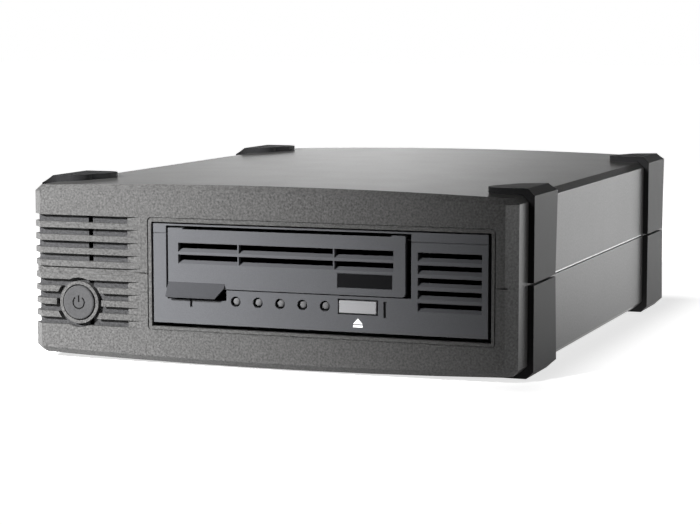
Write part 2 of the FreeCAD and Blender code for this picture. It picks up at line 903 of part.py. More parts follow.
keep(cut_from("fan_frame", fused("fan_frame_solid", [
    cut_from("fan_ring",
             block("fan_case", fan_x - fan_half, fan_x + fan_half, fan_front, panel_inner,
                   fan_z - fan_half, fan_z + fan_half),
             [rod("fan_bore", "y", fan_x, fan_front - MARGIN, fan_z, bore_radius,
                  cell.fan_depth + 2 * MARGIN)]),
    rod("fan_motor", "y", fan_x, fan_front, fan_z, cell.fan_hub, strut_thick),
    rod("fan_shaft", "y", fan_x, fan_front, fan_z, hub_shaft, cell.fan_depth - 2),
] + [radial_bar("fan_strut_%d" % i, 45 + 90 * i, cell.fan_hub - 1, bore_radius + 0.8, 2.0,
                fan_front, frame_hub) for i in range(4)]),
    [rod("fan_frame_hole_%d" % i, "y", x, fan_front - MARGIN, z, cell.screw_radius + 0.2,
         cell.fan_depth + 2 * MARGIN)
     for i, (x, z) in enumerate(screw_spots(cell.fan_hole_spacing))]), "fan_frame")

rotor_start = frame_hub + 0.5
rotor_end = panel_inner - 1.0
BLADES = 7
keep(cut_from("fan_rotor", fused("fan_rotor_solid", [
    rod("rotor_hub", "y", fan_x, rotor_start, fan_z, cell.fan_hub, rotor_end - rotor_start),
] + [radial_bar("blade_%d" % i, 360.0 / BLADES * i, cell.fan_hub - 1.5,
                bore_radius - cell.fan_tip_gap, 1.2, rotor_start + 1.2, rotor_end - 1.2, 40.0)
     for i in range(BLADES)]),
    [rod("rotor_bore", "y", fan_x, rotor_start - MARGIN, fan_z,
         hub_shaft + cell.shaft_clearance, cell.fan_depth + 2 * MARGIN)]), "fan_rotor")

guard_start = panel_outer
guard_end = panel_outer + 1.2
rings = []
for index in range(3):
    outer = bore_radius - 6.5 * index
    rings.append(cut_from("guard_ring_%d" % index,
                          rod("guard_outer_%d" % index, "y", fan_x, guard_start, fan_z, outer + 0.7,
                              guard_end - guard_start),
                          [rod("guard_inner_%d" % index, "y", fan_x, guard_start - MARGIN, fan_z,
                               outer - 0.7, 2 * MARGIN)]))
half_spacing = cell.fan_hole_spacing / 2
arm = half_spacing * math.sqrt(2.0)
keep(cut_from("fan_guard", fused("fan_guard_solid", rings + [
    radial_bar("guard_arm_%d" % i, 45 + 90 * i, 4.0, arm, 1.6, guard_start, guard_end)
    for i in range(4)
] + [rod("guard_eye_%d" % i, "y", x, guard_start, z, 3.2, guard_end - guard_start)
     for i, (x, z) in enumerate(screw_spots(cell.fan_hole_spacing))]),
    [rod("guard_hole_%d" % i, "y", x, guard_start - MARGIN, z, cell.screw_radius + 0.2,
         2 * MARGIN) for i, (x, z) in enumerate(screw_spots(cell.fan_hole_spacing))]), "fan_guard")

keep(group("fan_screws", [
    fused("fan_screw_%d" % i, [
        rod("fan_screw_head_%d" % i, "y", x, guard_end, z, cell.screw_head_radius - 0.2, 1.3),
        rod("fan_screw_shank_%d" % i, "y", x, fan_front + 3, z, cell.screw_radius,
            guard_end - fan_front - 3)])
    for i, (x, z) in enumerate(screw_spots(cell.fan_hole_spacing))]), "fan_screws")


# ---------------------------------------------------------------- sockets

inlet_back = panel_outer - cell.inlet_depth
pin_depth = 14.0
keep(cut_from("mains_inlet", fused("inlet_body", [
    block("inlet_case", inlet_x - cell.inlet_width / 2 + 0.2, inlet_x + cell.inlet_width / 2 - 0.2,
          inlet_back, panel_outer, seam - cell.inlet_height / 2 + 0.2,
          seam + cell.inlet_height / 2 - 0.2),
    block("inlet_flange", inlet_x - cell.inlet_width / 2 - 2, inlet_x + cell.inlet_width / 2 + 2,
          panel_outer, panel_outer + 1.5, seam - cell.inlet_height / 2 - 2,
          seam + cell.inlet_height / 2 + 2),
]), [block("inlet_mouth", inlet_x - cell.plug_width / 2, inlet_x + cell.plug_width / 2,
           panel_outer - pin_depth - 2, panel_outer + MARGIN,
           seam - cell.plug_height / 2, seam + cell.plug_height / 2)]), "mains_inlet")

pins = [(-7.0, -2.0), (0.0, 2.0), (7.0, -2.0)]
keep(group("inlet_pins", [
    block("inlet_pin_%d" % i, inlet_x + x - 1, inlet_x + x + 1,
          panel_outer - pin_depth - 2, panel_outer - 1, seam + z - 2, seam + z + 2)
    for i, (x, z) in enumerate(pins)]), "inlet_pins")

port_back = panel_outer - cell.port_depth
keep(cut_from("data_port",
              block("port_case", port_x - cell.port_width / 2 + 0.2,
                    port_x + cell.port_width / 2 - 0.2, port_back, panel_outer + 1,
                    seam - cell.port_height / 2 + 0.2, seam + cell.port_height / 2 - 0.2),
              [block("port_mouth", port_x - cell.port_width / 2 + 1.2,
                     port_x + cell.port_width / 2 - 1.2, port_back + 6, panel_outer + MARGIN,
                     seam - cell.port_height / 2 + 1.2, seam + cell.port_height / 2 - 1.2)]),
     "data_port")
keep(block("port_tongue", port_x - 7.5, port_x + 7.5, port_back + 6, panel_outer - 4,
           seam - 0.5, seam + 0.5), "port_tongue")


# ---------------------------------------------------------------- power supply

supply_left = thick - tray_side + 1.0
supply_right = drive_left - cell.supply_gap
supply_width = supply_right - supply_left
supply_start = tray_face + 14.0
supply_end = supply_start + cell.supply_length
supply_floor = tray_bottom + thick
keep(cut_from("supply_case",
              block("supply_blank", supply_left, supply_right, supply_start, supply_end,
                    supply_floor, supply_floor + cell.supply_height), [
    block("supply_hollow", supply_left + thick, supply_right - thick, supply_start + thick,
          supply_end + MARGIN, supply_floor + thick, supply_floor + cell.supply_height + MARGIN),
]), "supply_case")
board_level = supply_floor + 6.0


def across(share):
    return supply_left + supply_width * share


def along(share):
    return supply_start + cell.supply_length * share


keep(fused("supply_board", [
    block("supply_sheet", supply_left + thick + 0.5, supply_right - thick - 0.5,
          supply_start + thick + 2, supply_end - 2, board_level, board_level + 1.6),
] + [rod("supply_post_%d" % i, "z", across(x), along(y), supply_floor + thick, 2.0,
         board_level - supply_floor - thick)
     for i, (x, y) in enumerate([(0.14, 0.06), (0.86, 0.06), (0.14, 0.94), (0.86, 0.94)])]),
    "supply_board")
parts_level = board_level + 1.6
keep(group("supply_parts", [
    block("supply_transformer", across(0.16), across(0.74), along(0.47), along(0.67),
          parts_level, parts_level + 26),
    block("supply_heat_sink", across(0.84), across(0.92), along(0.13), along(0.41),
          parts_level, parts_level + 28),
    rod("supply_capacitor", "z", across(0.4), along(0.22), parts_level, supply_width * 0.2, 30.0),
    rod("supply_choke", "z", across(0.32), along(0.81), parts_level, supply_width * 0.14, 20.0),
]), "supply_parts")


# ---------------------------------------------------------------- drive brackets

bracket_sheet = 1.2
for name, near, sign in (("left_drive_bracket", drive_left, -1),
                         ("right_drive_bracket", drive_right, 1)):
    walls = sorted([near, near + sign * bracket_sheet], key=number)
    feet = sorted([near, near + sign * 8.0], key=number)
    keep(fused(name, [
        block(name + "_wall", walls[0], walls[1], tray_face + 4, drive_back - 8,
              tray_bottom + thick, drive_z + 8),
        block(name + "_foot", feet[0], feet[1], tray_face + 4, drive_back - 8,
              tray_bottom + thick, tray_bottom + thick + bracket_sheet),
    ]), name)


# ---------------------------------------------------------------- drive frame and mechanism

bay_centre = bezel_left + cell.door_left + cell.door_width / 2
base_top = drive_bottom + cell.base_level
base_under = base_top - cell.base_sheet
base_start = front + 15.0
frame_start = front + cell.bezel_depth
cover = cell.drive_sheet
carriage_width = cell.door_width + 2.0
carriage_length = cell.drive_length - 123.0
carriage_height = cell.bezel_height - 17.7
carriage_start = front + 31.5
clutch_y = carriage_start + carriage_length * 0.57
reel_x = drive_x - 8.0
reel_y = drive_back - cell.reel_radius - 5.0
motor_radius = 19.0
cup_radius = 14.6
hub_radius = 14.0
roller_spots = [(drive_right - x, drive_back - y)
                for x, y in ((37, 69), (12, 66), (13, 32), (33, 15))]
carriage_floor = base_top + 2.0
rail_top = carriage_floor - 0.3


def drive_frame():
    side = cell.drive_side
    low, high = drive_bottom + cover, drive_top - cover
    back_wall = 2.0
    solids = [
        block("frame_left", drive_left, drive_left + side, frame_start, drive_back, low, high),
        block("frame_right", drive_right - side, drive_right, frame_start, drive_back, low, high),
        block("frame_back", drive_left, drive_right, drive_back - back_wall, drive_back, low,
              high),
        block("frame_base", drive_left, drive_right, base_start, drive_back, base_under,
              base_top),
    ]
    for sign in (-1, 1):
        rail_x = bay_centre + sign * (carriage_width / 2 - 6)
        solids.append(block("frame_rail_%d" % sign, rail_x - 2, rail_x + 2, carriage_start,
                            carriage_start + carriage_length + cell.carriage_travel,
                            base_top, rail_top))
    for i, (x, y) in enumerate(roller_spots):
        solids.append(rod("frame_post_%d" % i, "z", x, y, base_top,
                          cell.shaft_radius, cell.roller_height + 3.5))
        solids.append(rod("frame_seat_%d" % i, "z", x, y, base_top,
                          cell.shaft_radius + 1.5, 1.2))
    tools = [
        rod("clutch_well", "z", bay_centre, clutch_y, base_under - MARGIN, cup_radius, 12.0),
        rod("reel_well", "z", reel_x, reel_y, base_under - MARGIN, cup_radius, 12.0),
    ]
    return cut_from("drive_frame", fused("drive_frame_solid", solids), tools)


keep(drive_frame(), "drive_frame")
keep(block("drive_top_cover", drive_left, drive_right, frame_start, drive_back,
           drive_top - cover, drive_top), "drive_top_cover")
keep(block("drive_bottom_cover", drive_left, drive_right, frame_start, drive_back,
           drive_bottom, drive_bottom + cover), "drive_bottom_cover")

board_top = base_under - 5.0
keep(fused("control_board", [
    block("control_sheet", drive_left + cell.drive_side + 0.5,
          drive_right - cell.drive_side - 0.5, base_start + 10, drive_back - 3,
          board_top - 1.6, board_top),
    block("control_chip", drive_x - 20, drive_x + 5, drive_back - 95, drive_back - 70, board_top,
          board_top + 2.0),
] + [rod("control_post_%d_%d" % (x, y), "z", board_x, board_y, board_top, 2.2,
         base_under - board_top)
     for x, board_x in enumerate((drive_left + 9, drive_right - 9))
     for y, board_y in enumerate((base_start + 15, drive_back - 10))]), "control_board")


def motor(name, x, y):
    """A flat spindle motor under the base plate, open at the top for the hub, with its shaft."""
    depth = 4.4
    ring = cut_from(name + "_cup", rod(name + "_can", "z", x, y, base_under - depth, motor_radius,
                                       depth),
                    [rod(name + "_well", "z", x, y, base_under - depth + 1.5, cup_radius, 20.0)])
    return fused(name, [ring, rod(name + "_shaft", "z", x, y, base_under - depth,
                                  cell.shaft_radius, depth + cell.base_sheet + 2.0)])


keep(motor("cartridge_motor", bay_centre, clutch_y), "cartridge_motor")
keep(motor("reel_motor", reel_x, reel_y), "reel_motor")
hub_bottom = base_under - 4.4 + 1.8


def spindle_bore(name, x, y):
    return rod(name, "z", x, y, hub_bottom - MARGIN, cell.shaft_radius + cell.shaft_clearance,
               base_top + 3.3 - hub_bottom + MARGIN)


keep(cut_from("drive_clutch", fused("clutch_solid", [
    rod("clutch_hub", "z", bay_centre, clutch_y, hub_bottom, hub_radius, base_top - hub_bottom),
    rod("clutch_face", "z", bay_centre, clutch_y, base_top, hub_radius - 3, 2.8),
]), [spindle_bore("clutch_bore", bay_centre, clutch_y)]), "drive_clutch")


def takeup_reel():
    """A flanged reel turned about its spindle."""
    flange = 1.0
    barrel = 21.0
    low = base_top + 0.6
    solids = [
        rod("reel_hub", "z", reel_x, reel_y, hub_bottom, hub_radius, low - hub_bottom),
        rod("reel_low_flange", "z", reel_x, reel_y, low, cell.reel_radius, flange),
        rod("reel_barrel", "z", reel_x, reel_y, low + flange, barrel,
            cell.reel_height - 2 * flange),
        rod("reel_high_flange", "z", reel_x, reel_y, low + cell.reel_height - flange,
            cell.reel_radius, flange),
    ]
    return cut_from("takeup_reel", fused("reel_solid", solids),
                    [spindle_bore("reel_bore", reel_x, reel_y)])


keep(takeup_reel(), "takeup_reel")

roller_low = base_top + 1.5
for i, (x, y) in enumerate(roller_spots):
    name = "guide_roller_%d" % (i + 1)
    keep(cut_from(name, fused(name + "_solid", [
        rod(name + "_barrel", "z", x, y, roller_low, cell.roller_radius, cell.roller_height),
        rod(name + "_low_flange", "z", x, y, roller_low, cell.roller_radius + 1.5, 1.0),
        rod(name + "_high_flange", "z", x, y, roller_low + cell.roller_height - 1,
            cell.roller_radius + 1.5, 1.0),
    ]), [rod(name + "_bore", "z", x, y, roller_low - MARGIN,
             cell.shaft_radius + cell.shaft_clearance, cell.roller_height + 2 * MARGIN)]), name)

head_y = drive_back - 49.0
head_x = drive_right - cell.drive_side - 12.0
head_low = base_top + 3.0
keep(fused("tape_head", [
    block("head_block", head_x, head_x + 6, head_y - 7, head_y + 7, head_low, head_low + 14),
    rod("head_rib", "z", head_x, head_y, head_low, 2.5, 14.0),
]), "tape_head")
keep(cut_from("head_actuator",
              block("actuator_case", head_x + 6.3, drive_right - cell.drive_side, head_y - 8,
                    head_y + 8, base_top, head_low + 14 + 2 * cell.head_travel),
              [block("actuator_notch", head_x, head_x + 8.3, head_y - 4, head_y + 4,
                     head_low - 2, head_low + 30)]), "head_actuator")

carriage_left = bay_centre - carriage_width / 2
carriage_right = bay_centre + carriage_width / 2
carriage_end = carriage_start + carriage_length
keep(cut_from("cartridge_carriage", fused("carriage_solid", [
    block("carriage_base", carriage_left, carriage_right, carriage_start, carriage_end,
          carriage_floor, carriage_floor + 1),
    block("carriage_left_side", carriage_left, carriage_left + 1, carriage_start, carriage_end,
          carriage_floor, carriage_floor + carriage_height),
    block("carriage_right_side", carriage_right - 1, carriage_right, carriage_start,
          carriage_end, carriage_floor, carriage_floor + carriage_height),
    block("carriage_left_lip", carriage_left, carriage_left + 8, carriage_start, carriage_end,
          carriage_floor + carriage_height - 1, carriage_floor + carriage_height),
    block("carriage_right_lip", carriage_right - 8, carriage_right, carriage_start,
          carriage_end, carriage_floor + carriage_height - 1,
          carriage_floor + carriage_height),
]), [block("carriage_gap", bay_centre - hub_radius - 2, bay_centre + hub_radius + 2,
           clutch_y - hub_radius - 2 - cell.carriage_travel, clutch_y + hub_radius + 2,
           carriage_floor - MARGIN, carriage_floor + MARGIN)]), "cartridge_carriage")


# ---------------------------------------------------------------- drive bezel

door_left = bezel_left + cell.door_left
door_right = door_left + cell.door_width
door_top = bezel_top - cell.door_top
door_bottom = bezel_bottom + cell.door_rise
hinge_y = front + cell.hinge_back
hinge_z = door_top - cell.hinge_drop
bezel_wall = 2.5
hole_left = door_left - cell.door_gap_left
hole_right = door_right + cell.door_gap_right
hole_bottom = door_bottom - cell.door_gap_bottom
top_rail = 0.7
lamp_z = bezel_bottom + 10.3
first_lamp = door_left + 30.8
eject_x = door_right - 20.65
eject_z = bezel_bottom + 10.5
grille_left = hole_right + 2.8
grille_width = bezel_right - cell.grille_margin - grille_left
lip_left = door_left
lip_right = door_left + cell.lip_width
lip_low = door_bottom - cell.lip_height + 1.0
swing = root((hinge_y - front + lip_reach) * (hinge_y - front + lip_reach)
             + (hinge_z - lip_low) * (hinge_z - lip_low))
notch_low = hinge_z - swing - 0.5


def drive_bezel():
    body = new_body("drive_bezel")
    depth = cell.bezel_depth
    pad(body, "XZ_Plane", front,
        lambda sketch: draw_box(sketch, bezel_left, bezel_right, bezel_bottom, bezel_top), depth)
    through = depth + 2 * MARGIN
    pocket(body, "XZ_Plane", front - MARGIN,
           lambda sketch: draw_box(sketch, hole_left, hole_right, hole_bottom,
                                   bezel_top - top_rail), through)
    pocket(body, "XZ_Plane", front - MARGIN,
           lambda sketch: draw_box(sketch, lip_left - 0.6, lip_right + 0.6, notch_low,
                                   hole_bottom + 1), through)
    column = hole_right + 1.5
    pocket(body, "XZ_Plane", front + bezel_wall,
           lambda sketch: draw_outline(sketch, [
               (lip_right + 2.1, bezel_bottom + 1.5), (bezel_right - 1.5, bezel_bottom + 1.5),
               (bezel_right - 1.5, bezel_top - 1.5), (column, bezel_top - 1.5),
               (column, hole_bottom - 1.5), (lip_right + 2.1, hole_bottom - 1.5)]), depth)

    first_top = bezel_top - 8.1
    sill = 1.6

    def slot(sketch):
        draw_outline(sketch, [
            (front - 1, first_top), (front - 1, first_top - cell.grille_slot),
            (front, first_top - cell.grille_slot),
            (front + bezel_wall + 0.5, first_top - cell.grille_slot + sill),
            (front + bezel_wall + 0.5, first_top)])

    opening = pocket(body, "YZ_Plane", grille_left, slot, grille_width)
    pattern = repeated(body, opening, "Z_Axis", cell.grille_pitch, 5)
    pattern.Reversed = True
    doc.recompute()

    def lamps(sketch):
        for i in range(5):
            draw_circle(sketch, first_lamp + i * cell.lamp_pitch, lamp_z, cell.lamp_recess)

    pocket(body, "XZ_Plane", front - MARGIN, lamps, bezel_wall + 2 * MARGIN)
    wide = cell.eject_width / 2 + cell.eject_clearance
    tall = cell.eject_height / 2 + cell.eject_clearance
    pocket(body, "XZ_Plane", front - MARGIN,
           lambda sketch: draw_box(sketch, eject_x - wide, eject_x + wide, eject_z - tall,
                                   eject_z + tall), bezel_wall + 2 * MARGIN)
    for x, low, high, half in ((door_left + 10.4, 7.2, 10.6, 0.6),
                               (door_right - 8.8, 6.6, 13.2, 0.7)):
        pocket(body, "XZ_Plane", front - MARGIN,
               lambda sketch: draw_box(sketch, x - half, x + half, bezel_bottom + low,
                                       bezel_bottom + high), 1.2 + MARGIN)
    ridge = bezel_top - 3.8
    for x0, x1 in ((bezel_left - MARGIN, hole_left), (hole_right, bezel_right + MARGIN)):
        pocket(body, "XZ_Plane", front - MARGIN,
               lambda sketch: draw_box(sketch, x0, x1, ridge - cell.column_groove, ridge),
               cell.column_groove + MARGIN)
    pocket(body, "YZ_Plane", hole_left - 4.0,
           lambda sketch: draw_circle(sketch, hinge_y, hinge_z,
                                      cell.pin_radius + cell.pin_clearance / 5),
           hole_right - hole_left + 5.0)
    return body


keep(drive_bezel(), "drive_bezel")

keep(rod("door_hinge_pin", "x", hole_left - 3.9, hinge_y, hinge_z, cell.pin_radius,
         hole_right - hole_left + 4.8), "door_hinge_pin")


# ---------------------------------------------------------------- drive door

def drive_door():
    """A flap with two air slots, hung on the pin by a knuckle at each end, with a finger lip."""
    body = new_body("drive_door_leaf")
    face = front - cell.door_proud
    back = face + cell.door_sheet
    pad(body, "XZ_Plane", face,
        lambda sketch: draw_box(sketch, door_left, door_right, door_bottom, door_top),
        cell.door_sheet)
    right_x, low_z = number(door_right), number(door_bottom)

    def free_corner(edge):
        box = edge.BoundBox
        return (abs(box.XMin - right_x) < 0.01 and abs(box.XMax - right_x) < 0.01
                and abs(box.ZMin - low_z) < 0.01 and abs(box.ZMax - low_z) < 0.01)

    dressed(body, "Fillet", "Radius", edges_where(body.Shape, free_corner), cell.door_corner)
    tab_left, tab_right = 6.8, 6.0
    pocket(body, "XZ_Plane", face - MARGIN,
           lambda sketch: draw_box(sketch, door_left + tab_left, door_right - tab_right,
                                   door_top - 0.5, door_top + MARGIN), 4 * MARGIN)
    pocket(body, "XZ_Plane", hinge_y - cell.pin_radius - 0.4,
           lambda sketch: draw_box(sketch, door_left + tab_left, door_right - tab_right,
                                   hinge_z - cell.pin_radius - 0.4, door_top + MARGIN),
           2 * MARGIN)
    top = door_top - 6.2

    def slot(sketch):
        draw_outline(sketch, [
            (face - 1, top), (face - 1, top - cell.long_slot), (face, top - cell.long_slot),
            (back + 0.5, top - cell.long_slot + 1.6), (back + 0.5, top)])

    slots_start, slots_length = door_left + 4.7, cell.door_width - 9.2
    divider = 0.6
    for start, end in ((0.0, 0.287), (0.287, 0.728), (0.728, 1.0)):
        opening = pocket(body, "YZ_Plane", slots_start + slots_length * start, slot,
                         slots_length * (end - start) - divider)
        pattern = repeated(body, opening, "Z_Axis", cell.long_slot_pitch, 2)
        pattern.Reversed = True
        doc.recompute()
    pocket(body, "XZ_Plane", face - MARGIN,
           lambda sketch: draw_box(sketch, door_right - 29.6, door_right - 5.6,
                                   door_bottom + 2.9, door_bottom + 9.0), MARGIN + 0.3)

    lip = new_body("drive_door_lip")
    tip = face - cell.lip_proud

    def section(sketch):
        draw_outline(sketch, [
            (face + 0.6, lip_low + 6.3), (face, lip_low + 6.3), (tip, lip_low + 0.9),
            (tip, lip_low), (tip + 1.1, lip_low), (face + 1.2, lip_low + 4.6)])

    pad(lip, "YZ_Plane", lip_left, section, cell.lip_width)
    pocket(lip, "XZ_Plane", tip - MARGIN,
           lambda sketch: draw_outline(sketch, [
               (lip_right + MARGIN, lip_low - MARGIN), (lip_right - 3.5, lip_low - MARGIN),
               (lip_right - 3.5, lip_low), (lip_right, lip_low + 4.5),
               (lip_right + MARGIN, lip_low + 4.5)]), 4 * MARGIN)
    knuckles = [
        rod("door_left_knuckle", "x", door_left, hinge_y, hinge_z, cell.hinge_drop, tab_left),
        rod("door_right_knuckle", "x", door_right - tab_right, hinge_y, hinge_z,
            cell.hinge_drop, tab_right),
    ]
    return cut_from("drive_door", fused("drive_door_solid", [body, lip] + knuckles), [
        rod("door_bore", "x", door_left - MARGIN, hinge_y, hinge_z,
            cell.pin_radius + cell.pin_clearance, cell.door_width + 2 * MARGIN)])


keep(drive_door(), "drive_door")


# ---------------------------------------------------------------- drive front board and controls

front_board = front + 7.6
keep(block("front_board", lip_right + 3, door_right - 1, front_board, front_board + 1.2,
           bezel_bottom + 2, hole_bottom - 2), "front_board")
keep(group("lamp_lenses", [
    rod("lamp_lens_%d" % i, "y", first_lamp + i * cell.lamp_pitch, front + 0.5, lamp_z,
        cell.lamp_radius, front_board - front - 0.5) for i in range(5)]), "lamp_lenses")

eject_face = front - 0.5
flange_face = front + bezel_wall + 0.4
eject_end = front_board - 0.8 - cell.eject_travel - 0.1
half_wide, half_tall = cell.eject_width / 2, cell.eject_height / 2
keep(fused("eject_button", [
    block("eject_cap", eject_x - half_wide, eject_x + half_wide, eject_face, flange_face,
          eject_z - half_tall, eject_z + half_tall),
    block("eject_flange", eject_x - half_wide - 1.4, eject_x + half_wide + 1.4, flange_face,
          flange_face + 0.8, eject_z - half_tall, eject_z + half_tall),
    block("eject_stem", eject_x - 2, eject_x + 2, flange_face + 0.8, eject_end, eject_z - 1.5,
          eject_z + 1.5),
]), "eject_button")
keep(block("eject_switch", eject_x - 3, eject_x + 3, front_board - 0.8, front_board,
           eject_z - 2.5, eject_z + 2.5), "eject_switch")


# ---------------------------------------------------------------- drive rear connection

keep(block("drive_connector", port_x - 12, port_x + 12, drive_back, drive_back + 8, seam - 3.5,
           seam + 3.5), "drive_connector")
keep(block("data_cable", port_x - 9, port_x + 9, drive_back + 8, port_back, seam - 0.6,
           seam + 0.6), "data_cable")


# ---------------------------------------------------------------- screws

keep(group("shell_screws", [
    fused("shell_screw_%d_%d" % (sx, index), [
        rod("shell_screw_head_%d_%d" % (sx, index), "z", x, y,
            screw_seat - screw_head, cell.screw_head_radius, screw_head),
        rod("shell_screw_shank_%d_%d" % (sx, index), "z", x, y, screw_seat, cell.screw_radius,
            tray_bottom - screw_seat)])
    for sx in (-1, 1)
    for index, y in enumerate((front + cell.standoff_setback, rear - cell.standoff_setback))
    for x in [sx * (inner_half_width - cell.standoff_inset)]]), "shell_screws")


# ---------------------------------------------------------------- check and write

doc.recompute()
for item in doc.Objects:
    if "Invalid" in item.State or "Error" in item.State:
        raise RuntimeError("%s failed: %s" % (item.Name, item.State))
os.makedirs("parts", exist_ok=True)
for piece in pieces:
    shape = piece.Shape
    if shape.isNull() or not shape.isValid() or not shape.Solids:
        raise RuntimeError("%s has no valid solid" % piece.Label)
    shape.exportStep(os.path.join("parts", piece.Label + ".step"))
    print("%-28s %2d solid %10.1f mm3" % (piece.Label, len(shape.Solids), shape.Volume))
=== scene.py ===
import math

import bmesh
import bpy
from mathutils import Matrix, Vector


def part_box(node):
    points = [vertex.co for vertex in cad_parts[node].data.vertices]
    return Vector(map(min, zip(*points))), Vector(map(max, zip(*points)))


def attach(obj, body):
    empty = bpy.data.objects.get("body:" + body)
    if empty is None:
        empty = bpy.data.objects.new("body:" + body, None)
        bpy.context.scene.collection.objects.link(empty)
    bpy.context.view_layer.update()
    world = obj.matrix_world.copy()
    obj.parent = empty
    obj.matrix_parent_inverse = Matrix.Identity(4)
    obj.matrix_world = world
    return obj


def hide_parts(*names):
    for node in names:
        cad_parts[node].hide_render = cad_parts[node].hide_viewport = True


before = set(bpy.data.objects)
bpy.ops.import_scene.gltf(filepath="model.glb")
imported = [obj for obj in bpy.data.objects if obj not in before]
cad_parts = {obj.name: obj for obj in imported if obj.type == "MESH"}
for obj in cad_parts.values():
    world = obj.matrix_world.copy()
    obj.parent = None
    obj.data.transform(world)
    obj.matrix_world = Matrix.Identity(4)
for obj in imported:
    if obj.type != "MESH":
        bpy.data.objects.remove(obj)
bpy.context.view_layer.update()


# ---------------------------------------------------------------- view, room and lamps
# The unit stands alone on a white floor. A soft spot lamp above its left front corner makes
# the front fall from light to dark, and a bright horizon behind it shines in the lid and side.
# The camera sees the room plain white, and the floor white with a painted shadow that dims its glow
# next to the unit; all other rays see them as they light.

view_target = (0.0384, -0.1423, 0.0474)
view_from = (0.3384, -0.9631, 0.1459)
lens_length = 110.1


def add_object(name, data):
    """A new object in the scene that shows the data."""
    made = bpy.data.objects.new(name, data)
    bpy.context.scene.collection.objects.link(made)
    return made


def aim(made, place, target):
    """Stands a camera or a lamp at a place, facing a point."""
    made.location = place
    made.rotation_euler = (Vector(target) - Vector(place)).to_track_quat("-Z", "Y").to_euler()


camera = add_object("camera", bpy.data.cameras.new("camera"))
camera.data.lens = lens_length
camera.data.sensor_width = 36.0
aim(camera, view_from, view_target)
bpy.context.scene.camera = camera
bpy.context.scene.view_settings.view_transform = "Standard"


def put(tree, kind, settings=None, sockets=None):
    """A new node; each socket takes a value or another node's output."""
    made = tree.nodes.new(kind)
    for field, value in (settings or {}).items():
        setattr(made, field, value)
    for key, value in (sockets or {}).items():
        if isinstance(value, bpy.types.NodeSocket):
            tree.links.new(value, made.inputs[key])
        else:
            made.inputs[key].default_value = value
    return made


def calc(tree, operation, a, b):
    """The result of one sum on two terms, each a number or another node's output."""
    return put(tree, "ShaderNodeMath", {"operation": operation}, {0: a, 1: b}).outputs[0]


def remap(tree, value, start, end, low, high, eased=False):
    """A value between start and end, carried over to the span from low to high."""
    return put(tree, "ShaderNodeMapRange",
               {"interpolation_type": "SMOOTHSTEP" if eased else "LINEAR"},
               {"Value": value, "From Min": start, "From Max": end,
                "To Min": low, "To Max": high}).outputs[0]


def camera_sees(tree, seen, lit, output_kind):
    """Ends a tree: the camera sees one shader, and the object is lit by the other."""
    rays = put(tree, "ShaderNodeLightPath")
    mix = put(tree, "ShaderNodeMixShader",
              sockets={0: rays.outputs["Is Camera Ray"], 1: lit, 2: seen})
    put(tree, output_kind, sockets={"Surface": mix.outputs[0]})


def lamp_at(name, kind, place, target, power, **settings):
    """A lamp that faces a point."""
    lamp = bpy.data.lights.new(name, kind)
    lamp.energy = power
    for setting, value in settings.items():
        setattr(lamp, setting, value)
    holder = add_object(name, lamp)
    aim(holder, place, target)
    return holder


spot_place, spot_target = (-0.50, -1.15, 0.55), (-0.18, -0.144, 0.09)
front_lamp = lamp_at("front_lamp", "SPOT", spot_place, spot_target, power=430.0,
                     spot_size=math.radians(25), spot_blend=1.0, shadow_soft_size=0.10)
front_lamp.visible_glossy = False
side_place, side_target = (1.0, -0.12, 0.12), (0.10, 0.0, 0.04)
lamp_at("right_lamp", "AREA", side_place, side_target, power=2.5,
        shape="RECTANGLE", size=0.5, size_y=0.3)

room = bpy.data.worlds.new("white_room")
bpy.context.scene.world = room
room.use_nodes = True
room_tree = room.node_tree
room_tree.nodes.clear()
way = put(room_tree, "ShaderNodeTexCoord")
split = put(room_tree, "ShaderNodeSeparateXYZ", sockets={0: way.outputs["Generated"]})
horizon_light, overhead_light = 6.3, 0.03
behind_light, front_light = 1.0, 0.012
horizon_glow = remap(room_tree, split.outputs["Z"], 0.02, 0.17, horizon_light, overhead_light,
                     eased=True)
behind = remap(room_tree, split.outputs["Y"], 0.0, 0.8, front_light, behind_light, eased=True)
round_room = remap(room_tree, split.outputs["X"], -0.6, 0.4, 0.0, 1.0)
window = put(room_tree, "ShaderNodeValToRGB", sockets={"Fac": round_room})
window.color_ramp.interpolation = "B_SPLINE"
window_left, window_right = 0.2, 1.3
window_stops = ((0.17, 0.3), (0.25, 1.0), (0.30, 0.95), (0.36, 0.33), (0.45, 0.4), (0.7, 1.3))
for stop, glow in window_stops:
    window.color_ramp.elements.new(stop).color = (glow, glow, glow, 1.0)
window.color_ramp.elements[0].color = (window_left, window_left, window_left, 1.0)
window.color_ramp.elements[-1].color = (window_right, window_right, window_right, 1.0)
wall_glow = calc(room_tree, "MULTIPLY", window.outputs["Color"], behind)
room_level = calc(room_tree, "MULTIPLY", horizon_glow, wall_glow)
plain_white = (1.0, 1.0, 1.0, 1.0)
lit_room = put(room_tree, "ShaderNodeBackground",
               sockets={"Color": plain_white, "Strength": room_level})
seen_room = put(room_tree, "ShaderNodeBackground",
                sockets={"Color": plain_white, "Strength": 1.0})
camera_sees(room_tree, seen_room.outputs[0], lit_room.outputs[0], "ShaderNodeOutputWorld")

